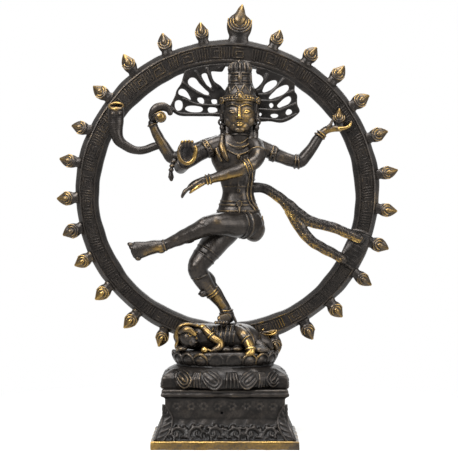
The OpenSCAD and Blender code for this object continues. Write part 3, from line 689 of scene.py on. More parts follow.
def halo_ring():
    bm = bmesh.new()
    # One cut through the band at the top, spun round; radius and depth
    cut = [(86.4, 8.2), (86.8, 6.8), (88.7, 4.9), (89.1, 4.2), (89.8, 4.1), (90.4, 4.75), (98.0, 4.75), (98.6, 4.1),
           (99.3, 4.2), (99.7, 4.9), (101.7, 6.8), (102.3, 8.2), (102.2, 10.6), (101.4, 11.4), (97.9, 11.4),
           (94.3, 11.4), (90.8, 11.4), (87.3, 11.4), (86.5, 10.6)]
    corners = [bm.verts.new((0, y, r)) for r, y in cut]
    loop = [bm.edges.new((corners[i - 1], corners[i])) for i in range(len(corners))]
    bmesh.ops.spin(bm, geom=corners + loop, cent=(0, 0, 0), axis=(0, 1, 0), angle=2 * math.pi, steps=288,
                   use_merge=True)
    bmesh.ops.remove_doubles(bm, verts=bm.verts, dist=0.001)
    bmesh.ops.recalc_face_normals(bm, faces=bm.faces)

    def near(turn, middle, spread, power=2):
        return np.exp(-((turn - middle) / spread) ** power)

    def bold(turn):
        """How deep the tooling is: full at the top and beside the seat, lower elsewhere, least at the low right."""
        turn = (turn + math.pi) % (2 * math.pi) - math.pi
        full = np.clip(near(turn, 0, 0.75, 4) + near(turn, 2.74, 0.12), 0, 1)
        return 0.6 + 0.4 * full - 0.6 * near(turn, 2.2, 0.38, 4)

    def on_face(turn, r, along=0.0, deep=None):
        spin = Matrix.Rotation(turn, 4, "Y")
        return spin @ Vector((along, 4.98 - 0.38 * (bold(turn) if deep is None else deep), r)), spin

    # Tooled face: fives of cross lines between panels with a squared hook
    count = 32
    for i in range(count):
        start = 2 * math.pi * (i + chance.uniform(-0.12, 0.12)) / count
        for k in range(5):
            middle, spin = on_face(start + (k - 2) * 0.0185, RING_BAND + chance.uniform(-0.3, 0.3))
            tilt = Matrix.Rotation(chance.uniform(-0.06, 0.06), 4, "Y")
            bar(bm, middle, (0.85, 1.1, 7.0 + chance.uniform(-1.2, 0.4)), spin @ tilt)
        panel = start + math.pi / count
        flip = 1 if chance.random() < 0.5 else -1
        for along, r, wide, tall in ((0, 97.2, 7.6, 0.8), (-3.6, 94.4, 0.8, 6.2), (0.4, 91.5, 6.8, 0.8),
                                     (3.4, 93.2, 0.8, 3.6), (1.0, 95.1, 4.6, 0.8), (-1.3, 94.0, 0.8, 2.4)):
            middle, spin = on_face(panel, r + chance.uniform(-0.25, 0.25), along * flip)
            bar(bm, middle, (wide, 0.95, tall), spin @ Matrix.Rotation(chance.uniform(-0.05, 0.05), 4, "Y"))
    # A leaf with a curled tip on the face by the seat, and its stem
    for leaf in ([(2.968, 98.4, 0.6), (2.93, 97.4, 0.7), (2.9, 96.4, 0.8), (2.886, 95, 1.2)],
                 [(2.9, 97.6, 0.8), (2.877, 99, 1.0), (2.852, 99.9, 1.1), (2.824, 100, 1.1), (2.806, 99.4, 1.1),
                  (2.8, 98, 0.7)],
                 [(2.89, 96.8, 0.8), (2.858, 97.6, 1.6), (2.83, 97.8, 1.5), (2.81, 97.6, 0.8)]):
        roll(bm, [(*on_face(turn, r, deep=1.6)[0], size, size) for turn, r, size in leaf], sides=10)
    # The opening sits a little nearer the foot than the rim does, and the casting isn't quite round
    band, drop = 15.9, 1.9
    for v in bm.verts:
        r = math.hypot(v.co.x, v.co.z)
        turn = math.atan2(v.co.x, v.co.z)
        uneven = 0.32 * math.sin(9 * turn + 1) + 0.12 * math.sin(23 * turn) + 0.08 * math.sin(41 * turn + 2)
        grow = 1 + uneven * (r - RING_BAND) / 8 / r
        v.co.x *= grow
        v.co.z = v.co.z * grow - drop * min(max((RING_R - r) / band, 0), 1)
    bmesh.ops.translate(bm, verts=bm.verts, vec=(0, 0, RING_Z))
    # Foot let into the seat, with rounded ends on a low flare
    for size, z in (((30, 5, 18.6), 64.6), ((33.4, 7.4, 6), 61.2)):
        block = bmesh.new()
        bar(block, (0, RING_MID, z), size)
        bmesh.ops.bevel(block, geom=block.edges[:], offset=2.2, segments=4, profile=0.5, affect="EDGES",
                        material=-1)
        bmesh.ops.subdivide_edges(block, edges=block.edges[:], cuts=3, use_grid_fill=True)
        put(bm, block)
    mesh = taken(bm)
    co = numbers(mesh)[0]
    wobble(mesh, 0.1, 18)
    r = np.hypot(co[:, 0], co[:, 2] - RING_Z)
    turn = np.arctan2(co[:, 0], co[:, 2] - RING_Z)
    front = co[:, 1] < 4.6
    tooled = front * (r > 90.2) * (r < 98.3)
    # Brass shows on the face, at the rim's front edge, in two worn places on the rim and beside the seat. A painted
    # sheen also rises and falls twice round the face, brightest at the upper left and the lower right.
    rub_and_painted_light = (0.21 + 0.09 * front + 0.06 * tooled * bold(turn) + 0.04 * front * np.sin(2 * turn + 2.6)
           + 0.05 * (r > 101) * (co[:, 1] < 8))
    rub_and_painted_light += 0.1 * near(turn, -2.2, 0.12) * (r > 99) + 0.16 * near(turn, 1.62, 0.07) * (r > 99)
    rub_and_painted_light += front * (0.36 * near(turn, 2.84, 0.05) * (r > 98.3) + 0.3 * near(turn, 2.886, 0.012) * (r < 96)
                    + 0.24 * near(turn, 2.74, 0.04) * tooled)
    # The lower part of the foot is painted darker: painted shade between the seat and the dwarf.
    rub_and_painted_light -= 0.12 * (r > 103.5)
    rub_and_painted_light -= 0.06 * tooled * near(turn, 2.2, 0.38, 4)
    set_rub(mesh, rub_and_painted_light)
    # The back is left as the file cut it
    set_rub(mesh, 0.5 * (co[:, 1] > 11), "dull")
    set_out("halo_ring_casting", mesh, ["halo_ring"], patina, sharp=40)


def flame_bud(w, h, t, cups, grain, keep, ground, full):
    """A flame: a round bud in rolled cups on a dark neck, with a pointed seed that rises out of it. It is given
    by width, height and thickness, and full is 1 where the bud fills out to its tip."""
    bm = bmesh.new()
    body = [(0, -0.12, 0.46, 0.46), (0, 0, 0.4, 0.46), (0, 0.1, 0.37, 0.44), (0, 0.2, 0.43, 0.46),
            (0, 0.34, 0.48, 0.48), (0, 0.5, 0.47, 0.45), (0, 0.63, 0.37 + 0.06 * full, 0.4),
            (0.01, 0.74, 0.2 + 0.14 * full, 0.34), (0.03, 0.87, 0.13 + 0.08 * full, 0.24),
            (0.05, 0.95, 0.06 + 0.05 * full, 0.16)]
    roll(bm, [(x * w, 0, z * h, wide * w, deep * t) for x, z, wide, deep in body], sides=20, steps=3)
    seed = [(0, 0.4, 0.36, 0.06, 0.1), (0, 0.46, 0.46, 0.15, 0.2), (0, 0.44, 0.58, 0.22 - 0.04 * full, 0.22),
            (0.01, 0.32, 0.72, 0.16 - 0.03 * full, 0.18), (0.03, 0.16, 0.86, 0.08, 0.14),
            (0.05, 0, 0.98, 0.04, 0.08)]
    for face in (-1, 1):
        for k in range(cups):
            size = 0.45 - 0.3 * k / cups
            cup = []
            for turn in range(-190, 11, 20):
                x, z = size * math.cos(math.radians(turn)), size * 0.98 * math.sin(math.radians(turn))
                crown = math.sqrt(max(0.02, 1 - (x / 0.52) ** 2 - z ** 2))
                thin = 1 - 0.5 * (abs(turn + 90) / 100) ** 4
                cup.append((x * w, face * 0.47 * t * crown, z * w + 0.53 * h, 0.128 / cups * w * thin))
            roll(bm, cup, steps=2)
        roll(bm, [(x * w, face * y * t, z * h, wide * w, deep * t) for x, y, z, wide, deep in seed], sides=12)
    mesh = skin(bm, grain, 2)
    spots = [(0.05 * w, 0, 0.92 * h, 0.2 * h, 0.12), (0, 0, 0.6 * h, 0.24 * h, 0.07 + 0.07 * (1 - full)),
             (0, 0, 0, 0.3 * h, -0.36)]
    hand_rubbed(mesh, 0.44, spots, ground, reach=8)
    return baked(mesh, [("DECIMATE", {"ratio": keep})])


def on_rim(turn):
    """Stands a flame on the ring's rim, let in a little."""
    let_in = 0.3
    return (Matrix.Translation((0, RING_MID, RING_Z)) @ turned(turn, "Y")
            @ Matrix.Translation((0, 0, RING_R - let_in)))


def flames():
    small = [flame_bud(w, h, t, 2, 0.3, 0.4, tone, 1.0) for w, h, t, tone in
             ((9.8, 13.4, 5.4, 0.44), (10.2, 13, 5.4, 0.39), (9.4, 13.8, 5.2, 0.42), (9.8, 13.2, 5.4, 0.53))]
    left = [9, 23.3, 38, 51.5, 66, 78.8, 92.2, 103.9, 115.3, 128.6, 143.2, 155.5]
    right = [17.6, 31.3, 43.5, 55.6, 69.2, 83.4, 96.4, 109.4, 122.4, 137.1, 149.5, 162.2]
    bm = bmesh.new()
    for i, turn in enumerate([-a for a in left] + right):
        lean = turned(chance.uniform(-8, 8), "Y")
        tip = turned(chance.uniform(-5, 5), "X")
        wide, tall = chance.choice((-1, 1)) * chance.uniform(0.94, 1.06), chance.uniform(0.92, 1.03)
        size = Matrix.Diagonal((wide, 1, tall, 1))
        # The low flames on the left are rubbed brightest
        stamp(bm, small[3 if turn < -112 else i % 3], on_rim(turn) @ lean @ tip @ size)
    bmesh.ops.recalc_face_normals(bm, faces=bm.faces)
    set_out("rim_flame_set", taken(bm), ["rim_flames"], patina)
    crest = flame_bud(17.6, 24.4, 6.4, 3, 0.28, 0.4, 0.38, 0.0)
    crest.transform(on_rim(4.2))
    set_out("crest_flame_bud", crest, ["crest_flame"], patina)
    hand = flame_bud(8.6, 12, 3, 2, 0.26, 0.5, 0.4, 0.2)
    hand.transform(Matrix.Translation((74.6, 1.6, 131.4 + BACK)))
    set_out("hand_flame_bud", hand, ["hand_flame"], patina)


# Dancer

def torso():
    bm = bmesh.new()
    roll(bm, [(7.3, -2, 58.5, 12.4, 7.6), (7.3, -2, 62, 15.4, 8.9), (7.3, -2, 66.4, 16.6, 9.3),
              (7.3, -2, 72, 15.2, 8.8), (7.3, -2, 78.3, 12.8, 7.9), (7.3, -2, 84, 11, 7.1),
              (7.3, -2, 88.2, 10.4, 6.8), (6.9, -2.2, 94, 11.2, 7.2), (6.3, -2.5, 101, 13, 8),
              (5.6, -2.8, 107, 15.2, 8.3), (5.1, -3, 111.4, 16.2, 8.2), (5.2, -2.8, 115.6, 16.4, 7.8),
              (5.6, -2.6, 119.4, 15, 7), (6.4, -2.6, 122.4, 11.8, 6.4), (7.4, -2.8, 125, 8.8, 5.9),
              (7.9, -3.4, 128, 7.4, 5.6)], sides=26, ends="flat")
    for s in (-1, 1):
        pellet(bm, (6.6 + s * 6.8, -8.3, 110.2), (6.4, 2.9, 5))
        pellet(bm, (6.6 + s * 7.2, -11.2, 109.2), (0.7, 0.5, 0.7))
        pellet(bm, (7.3 + s * 4.2, -6.4, 96), (4, 2.8, 7))
    pellet(bm, (7.3, -5.6, 84), (7.6, 3.4, 7))
    pellet(bm, (17.6, -2.4, 63), (7.6, 8.4, 8.8))
    hoop(bm, (7.4, -9.2, 88.2), (0, 1, 0), 0.9, 0.9, 0.4, 12)
    # Broad collar in three arcs with a pendant, and locks that fall on the breast
    for wide, top, low, deep, r in ((7, 125, 119.4, -9.4, 0.55), (9.8, 123.4, 115.8, -10.7, 0.45),
                                    (12.2, 120.6, 112, -11.6, 0.5)):
        arc = [(-1, 0.64, 0), (-0.66, 0.9, 0.6), (0, 1, 1), (0.66, 0.9, 0.6), (1, 0.64, 0)]
        roll(bm, [(7.6 + wide * x, deep * y, top - (top - low) * z, r) for x, y, z in arc])
    for row in smooth_line([(-1.4, -7.4, 122.4, 1), (2.2, -10, 118.4, 1), (7.6, -10.9, 117, 1), (13, -10, 118.4, 1),
                            (16.6, -7.4, 122.4, 1)], 5):
        pellet(bm, row[:3], (0.6, 0.5, 0.6))
    pellet(bm, (7.5, -12, 110.6), (1.2, 0.8, 1.7))
    for rows in ([(-3.4, -7.2, 124, 1.7), (-3.8, -10.2, 118.8, 2.1), (-2.4, -11.8, 113.4, 2.1),
                  (0.2, -12, 108.4, 1.1)],
                 [(-7, -6.8, 121, 1.4), (-7, -9.4, 116.4, 1.6), (-5.8, -10.6, 112, 1.5),
                  (-3.8, -10.8, 107.6, 0.8)]):
        roll(bm, rows, sides=10)
    # Scarf down the side, ribs and seam of the bodice, belts, buckle and the pleats over the hip
    for off in (0, 2.3):
        roll(bm, [(15 + off * 0.6, -8.2 + off * 0.5, 104, 0.6), (14.2 + off, -8.2 + off * 0.4, 96, 0.65),
                  (13.2 + off, -8 + off * 0.4, 88, 0.65), (14.4 + off, -8.6 + off * 0.3, 81, 0.65),
                  (18.4 + off * 0.6, -7.6, 75.5 + off * 0.6, 0.6)])
    roll(bm, [(6.8, -9.6, 101, 0.4), (7.2, -9.3, 95, 0.45), (7.3, -9, 90, 0.4)])
    for z, wide, deep, r in ((95.6, 11.5, 7.4, 0.35), (91.4, 10.9, 7.1, 0.35), (81.6, 11.6, 7.5, 0.55),
                             (79.2, 12.4, 7.9, 0.6), (75.2, 14, 8.5, 0.5), (72.6, 14.9, 8.8, 0.55)):
        hoop(bm, (7.2, -2, z), (0, -0.06, 1), wide, deep, r, 36)
    pellet(bm, (8, -10.2, 79.6), (2.1, 1.1, 2.4))
    beads(bm, (8, -10.9, 79.6), (0, 1, 0), 1.7, 2, 0.45, 10)
    roll(bm, [(8, -10.7, 77, 0.8), (8, -11.4, 73, 0.7), (8, -11.4, 70, 0.6)])
    for i in range(5):
        turn = math.radians(20 + 17 * i)
        x, y = 8 + 16.2 * math.cos(turn), -2 - 9 * math.sin(turn)
        roll(bm, [(x, y, 71.6, 0.45), (x + 0.5, y - 0.2, 66, 0.5), (x - 0.5, y + 0.6, 60.5, 0.4)])
    # The spots on the right shoulder and on the left lock are rubbed brass and also a painted highlight.
    spots = [(8, -12, 79.5, 2.6, 0.06), (20, -7, 119, 5, 0.22), (-3, -13, 116, 4, 0.16), (8, -12, 118, 3, 0.08)]
    cast("torso_casting", bm, ["torso"], patina, gild=0.15, spots=spots, grain=0.38, passes=2, ground=0.33)


def standing_leg():
    bm = bmesh.new()
    roll(bm, [(0, -2, 63, 9.6), (-8.3, -6, 53.7, 8.9), (-14.7, -9, 45.4, 7.8), (-19.4, -10.8, 38, 6.9),
              (-17.4, -8.8, 31, 6.0), (-12.6, -6, 23.7, 5.3), (-7.2, -3, 17.5, 4.6), (-2.9, -1.5, 12, 4.0),
              (-0.5, -1, 7, 3.9), (0.4, -1.4, 3.4, 3.9)], sides=20)
    pellet(bm, (-21.2, -14, 38.6), (3.8, 3.6, 4.4), (0, 20, 0))
    pellet(bm, (-12.8, -4, 29.5), (4.6, 4.6, 7), (0, -32, 0))
    # Foot and toes
    pellet(bm, (0.8, -0.6, 2.8), (3.9, 4, 2.9))
    roll(bm, [(0, -3, 4.6, 3.6, 3.6), (-1.4, -7.4, 3.6, 3.7, 2.9), (-3.2, -11.6, 2.5, 4.0, 2.2),
              (-4.2, -14.2, 1.9, 4.0, 1.7)], sides=14)
    for i in range(5):
        pellet(bm, (-7.6 + 1.75 * i, -15.6 - 0.25 * i, 1.5), (1.0, 2.3, 1.25))
    # Hems above the knee, knee tie, shin bangle, and anklets
    for middle, r in (((-12.9, -8.2, 47.9), 8.2), ((-15.4, -9.4, 44.2), 7.7)):
        hoop(bm, middle, (-0.55, -0.25, -0.8), r, r, 0.45, 30)
    hoop(bm, (-18.2, -9.7, 32.4), (0.3, 0.25, -0.9), 6.1, 6.1, 0.4, 30)
    for t in (0, 1):
        hoop(bm, (-11 + 1.3 * t, -5.1 + 0.7 * t, 21.9 - 1.7 * t), (0.58, 0.33, -0.74), 5.2 - 0.3 * t, 5.2 - 0.3 * t,
             0.55, 26)
    for z, r in ((8.4, 4.2), (6.7, 4.4)):
        hoop(bm, (-0.6, -1.2, z), (-0.1, 0, 1), r, r, 0.6, 22)
    beads(bm, (-0.4, -1.2, 5.2), (-0.1, 0, 1), 4.6, 4.6, 0.7, 16)
    # Casting seam left down the calf to the heel
    roll(bm, [(-13.4, -7, 34, 0.5), (-8, -5.4, 27.4, 0.6), (-2.9, -3.6, 19, 0.7), (2.4, -2.6, 8.6, 0.8),
              (5.6, -2.6, 1, 1.0)])
    # Peg let into the dwarf
    roll(bm, [(0, -4, -8.8, 1.8), (0, -4, 3, 1.8)], sides=14, steps=1, ends="flat")
    spots = [(-13.5, -12, 26.6, 3.6, 0.2), (-9.6, -9.4, 21.4, 3.8, 0.36), (-6.6, -8, 16.4, 3.8, 0.4),
             (-3.4, -6.4, 10.6, 3.6, 0.38), (-4, -12, 4.5, 5, 0.22), (0, -8, 6, 4, 0.16)]
    cast("standing_leg_casting", bm, ["standing_leg"], patina, gild=0.13, spots=spots, grain=0.38)


def raised_leg():
    bm = bmesh.new()
    roll(bm, [(15.3, -3, 66.2, 9.6), (8.4, -11, 65.6, 8.5), (-0.5, -16.6, 66.2, 7.8), (-7, -19.4, 66.2, 7.3),
              (-13.6, -20.6, 64.8, 6.5), (-19.4, -20, 61.9, 5.6), (-30.1, -17, 57.2, 4.6),
              (-38.4, -14.6, 53.4, 3.6), (-41.8, -14, 52.1, 3.7)], sides=20)
    pellet(bm, (-14.4, -23, 66), (5.4, 3.8, 4), (0, 14, 0))
    pellet(bm, (-25.5, -17.4, 58.2), (6, 4.6, 4.9), (0, -24, 0))
    # Foot turned out, toes one above the other
    roll(bm, [(-40.4, -14, 52.2, 3.6, 3.6), (-45.5, -14.5, 51.6, 4.3, 4.2), (-51, -15, 50.6, 4.8, 4.2),
              (-56, -16, 49.5, 5.4, 3.9), (-60, -16.6, 48.8, 6, 3.4)], sides=16)
    pellet(bm, (-43.8, -14, 49.4), (3.4, 3.6, 2.6))
    roll(bm, [(-62, -16.4, 52.6, 1.8, 2.6), (-60.4, -16.5, 48.2, 2.2, 2.6), (-58.2, -16.4, 43.8, 1.8, 2.4)],
         sides=12)
    for i in range(5):
        t = i / 4
        pellet(bm, (-63 + 4.4 * t, -16.8, 52.8 - 9 * t), (2.8 - 0.6 * t, 2.6, 1.6), (0, 14 + 8 * t, 0))
    bangles(bm, 28, [((8.8, -10.8, 65.7), (-0.75, -0.62, 0.05), 8.6, 0.6),
                     ((11, -8.4, 65.8), (-0.7, -0.7, 0.05), 9.2, 0.65),
                     ((-41, -14.2, 52.4), (-0.93, 0.1, -0.3), 3.9, 0.4)])
    spots = [(-49, -19.4, 49.2, 3, 0.36), (-44.6, -18.4, 49, 2.8, 0.34), (-53.4, -19.6, 46.8, 2.6, 0.3),
             (-41.6, -18, 51, 2.4, 0.2), (-7.5, -26.4, 68, 3, 0.22), (-33, -20.5, 55.5, 5, 0.05)]
    cast("raised_leg_casting", bm, ["raised_leg"], patina, gild=0.13, spots=spots, grain=0.38)


def head():
    bm = bmesh.new()
    x = 8.0
    pellet(bm, (x, -4.6, 144), (9.8, 9.2, 9.4))
    pellet(bm, (x, -7, 139.6), (9.2, 7.2, 10.6))
    pellet(bm, (x, -8.4, 146.4), (8.6, 6.2, 5))
    pellet(bm, (x, -8, 132.4), (6.6, 5.2, 5))
    pellet(bm, (x, -11.5, 130), (3.1, 1.7, 2))
    # Nose, with the bridge running down from the brows
    roll(bm, [(x, -13.7, 143.6, 0.9), (x, -14.6, 140.6, 0.95), (x, -15.4, 137.8, 1.15)], sides=10)
    pellet(bm, (x, -15.1, 137.1), (1.3, 1.2, 1))
    for s in (-1, 1):
        pellet(bm, (x + s * 1.3, -14.2, 136.7), (0.85, 0.9, 0.7))
        pellet(bm, (x + s * 4.4, -9.1, 135.6), (4.4, 3, 4.6))
        # Lowered lids, brows and long ears
        pellet(bm, (x + s * 4, -12.9, 141), (2.2, 1.1, 1.05))
        roll(bm, [(x + s * 1.9, -13.5, 140.7, 0.28), (x + s * 4, -14, 139.9, 0.36),
                  (x + s * 6.3, -12.4, 141, 0.28)])
        roll(bm, [(x + s * 1.4, -14.2, 143.9, 0.4), (x + s * 4.2, -14.1, 145.1, 0.5),
                  (x + s * 7.2, -11.9, 143.8, 0.35)])
        roll(bm, [(x + s * 9.5, -5.4, 144.5, 1.2, 1.6), (x + s * 10.1, -5.6, 140.5, 1.4, 1.8),
                  (x + s * 9.9, -6, 136, 1.2, 1.5)], sides=10)
        # Locks beside the cheeks
        roll(bm, [(x + s * 9, -8, 148, 1.2), (x + s * 9.5, -8, 144.6, 1.1), (x + s * 9.3, -7.8, 140.5, 0.8)])
    roll(bm, [(x - 2.5, -13, 133.6, 0.3), (x - 0.9, -14.1, 134, 0.48), (x, -14.2, 133.8, 0.42),
              (x + 0.9, -14.1, 134, 0.48), (x + 2.5, -13, 133.6, 0.3)])
    roll(bm, [(x - 2, -13.1, 133, 0.3), (x, -14, 132.5, 0.6), (x + 2, -13.1, 133, 0.3)])
    pellet(bm, (x, -13, 133.2), (2.4, 0.9, 0.9))
    bmesh.ops.scale(bm, vec=(1.16, 1.04, 1.1), space=Matrix.Translation((-x, 5, -147)), verts=bm.verts)
    # Neck with two folds, and locks down to the shoulders
    roll(bm, [(x, -3, 116, 8, 5.4), (x, -3.6, 121, 7.6, 5.6), (x, -4.4, 125, 7.2, 5.8), (x, -5.4, 132, 7, 6)],
         sides=18, ends="flat")
    for z in (124, 126.2):
        hoop(bm, (x, -4.6, z), (0, 0.25, 1), 7.4, 6.1, 0.45, 24)
    for s in (-1, 1):
        for off in (0, 2.6):
            roll(bm, [(x + s * (9.8 - off * 0.4), -3.4, 138, 1.9), (x + s * (10.6 - off), -3.6, 131, 2.0),
                      (x + s * (10.8 - off * 1.2), -5, 125.6, 2.0), (x + s * (11 - off * 1.3), -7, 121, 1.4)],
                 sides=10)
    # The spots on the right side of the face are rubbed brass and also paint that side lighter, as painted light.
    spots = [(x + 1, -17, 137.4, 9.5, 0.36), (x + 1, -17, 138, 3.4, 0.1), (x + 6, -15, 141, 4.6, 0.16),
             (x + 5, -15, 133, 4.6, 0.14), (x + 1, -15.6, 129.4, 3.6, 0.2), (x - 5, -14.4, 130.6, 3.6, 0.08),
             (x + 4, -14.6, 147.5, 4, 0.2)]
    cast("head_casting", bm, ["head"], patina, gild=0.07, spots=spots, grain=0.3, keep=0.45, uneven=0.03)


def crown():
    bm = bmesh.new()
    x, y, z = 8.4, -5.5, 148.6
    body = [(-2, 11, 10.4), (1.5, 11, 10.6), (4, 10.2, 9.9), (7.5, 9, 8.8), (9.6, 8, 7.9), (10.6, 7.4, 7.3),
            (14, 7.4, 7.4), (17.4, 7.2, 7.2), (18.4, 6.9, 6.9), (20, 7.2, 7.2), (22.6, 7.0, 7.0), (25, 5.2, 5.2),
            (26.6, 1.4, 1.4)]
    roll(bm, [(x, y, z + up, wide, deep) for up, wide, deep in body], sides=28, steps=2, ends="flat")
    # Diadem: two beaded bands with a jewel and a rosette over each ear
    hoop(bm, (x, y, z - 1.6), (0, 0.08, 1), 11.4, 10.7, 0.6, 40)
    beads(bm, (x, y, z - 0.2), (0, 0.08, 1), 11.5, 10.8, 0.8, 34)
    hoop(bm, (x, y, z + 1.4), (0, 0.08, 1), 11.2, 10.5, 0.6, 40)
    pellet(bm, (x - 0.2, y - 10.8, z + 1.6), (1.6, 1.1, 2.2))
    beads(bm, (x - 0.2, y - 10.6, z + 1.6), (0, 1, 0), 2.3, 3, 0.7, 12)
    for s in (-1, 1):
        pellet(bm, (x + s * 11.8, y - 2.4, z - 1), (1.7, 1.6, 2.4))
        beads(bm, (x + s * 12.2, y - 3.4, z - 1), (s * 0.8, -0.6, 0), 1.9, 2.2, 0.7, 9)
    # Plaited dome, laced block and fluted top
    plait = ((10, 9.9, 0, 4, 0.55), (9.2, 9.1, 0.17, 7, 0.6), (8, 8, 0.34, 9.4, 0.5))
    for i in range(9):
        turn = 2 * math.pi * i / 9
        for way in (-1, 1):
            roll(bm, [(x + r * math.sin(turn + way * on), y - deep * math.cos(turn + way * on), z + up, thick)
                      for r, deep, on, up, thick in plait])
    for up, r, size in ((10.2, 7.6, 0.65), (12.4, 7.4, 0.45), (15.8, 7.4, 0.45), (17.8, 7.4, 0.7)):
        hoop(bm, (x, y, z + up), (0, 0, 1), r, r, size, 32)
    for count, rib in ((6, [(7.5, 10.6, 1.2, 0.7), (7.7, 14, 1.4, 0.8), (7.4, 17.6, 1.2, 0.7)]),
                       (14, [(6.9, 18.4, 0.8), (7.4, 21, 0.95), (6.4, 24.2, 0.8), (2.4, 26.2, 0.5)])):
        for i in range(count):
            turn = 2 * math.pi * i / count
            roll(bm, [(x + r * math.sin(turn), y - r * math.cos(turn), z + up, *thick) for r, up, *thick in rib])
    pellet(bm, (x - 0.6, y - 5.6, z + 25.2), (1.3, 1.2, 1.8))
    bmesh.ops.scale(bm, vec=(1, 1, 0.96), space=Matrix.Translation((0, 0, -z)), verts=bm.verts)
    spots = [(x, y - 12, z + 1, 4.2, 0.24), (x + 6, y - 9.6, z, 4, 0.24), (x - 6.5, y - 9.2, z - 0.4, 4.2, 0.16),
             (x + 11.8, y - 4, z - 1, 2.8, 0.2), (x - 11.8, y - 4, z - 1, 2.8, 0.2),
             (x - 1, y - 8.4, z + 14, 2.6, 0.14)]
    cast("crown_casting", bm, ["crown"], patina, gild=0.17, spots=spots, grain=0.3, passes=2, keep=0.45,
         uneven=0.08)


def earrings():
    bm = bmesh.new()
    for s in (-1, 1):
        pellet(bm, (8 + s * 10, -6.2, 137.2), (1.4, 1.5, 1.4))
        hoop(bm, (8 + s * 11.3, -6.8, 133.6), (s * 0.3, 1, 0), 2.1, 2.4, 0.8, 18)
        pellet(bm, (8 + s * 11.5, -6.9, 129.8), (1.8, 1.8, 2))
        pellet(bm, (8 + s * 11.6, -6.9, 127.6), (0.9, 0.9, 1.2))
        roll(bm, [(8 + s * 11.3, -6.8, 131.4, 0.7), (8 + s * 11.5, -6.9, 130.4, 0.7)], steps=1)
    cast("earring_pair", bm, ["earrings"], patina, gild=0.12, grain=0.3, passes=2, uneven=0.02)


def sheet(bm, outline, front, thick):
    """A flat sheet cut to a rounded outline of x and z."""
    part = bmesh.new()
    rim = [part.verts.new((r[0], front, r[2]))
           for r in smooth_line([(x, 0, z, 1) for x, z in outline], 4, closed=True)]
    face = bmesh.ops.contextual_create(part, geom=rim)["faces"]
    grown = bmesh.ops.extrude_face_region(part, geom=face)["geom"]
    bmesh.ops.translate(part, vec=(0, thick, 0), verts=[g for g in grown if isinstance(g, bmesh.types.BMVert)])
    bmesh.ops.recalc_face_normals(part, faces=part.faces)
    put(bm, part)


def strands(name, node, outline, gaps, plaits, curls):
    """Flying hair: a thin fan pierced between its plaits, with a ridge along each plait and a curl at some ends."""
    slab, tool, bm = bmesh.new(), bmesh.new(), bmesh.new()
    sheet(slab, outline, 1.35, 2.8)
    for gap in gaps:
        sheet(tool, gap, -1, 8)
    mesh = cut_away(taken(slab), tool)
    bm.from_mesh(mesh)
    for line in plaits:
        roll(bm, [(x, 1.5, z, 0.75, 0.8) for x, z in line])
    for x, z, r in curls:
        hoop(bm, (x, 2.5, z), (0, 1, 0), r, r, 1.15, 18)
        pellet(bm, (x, 2.5, z), (r * 0.6, 1.4, r * 0.6))
    cast(name, bm, [node], patina, gild=0.07, grain=0.34, uneven=0.12, ground=0.16)


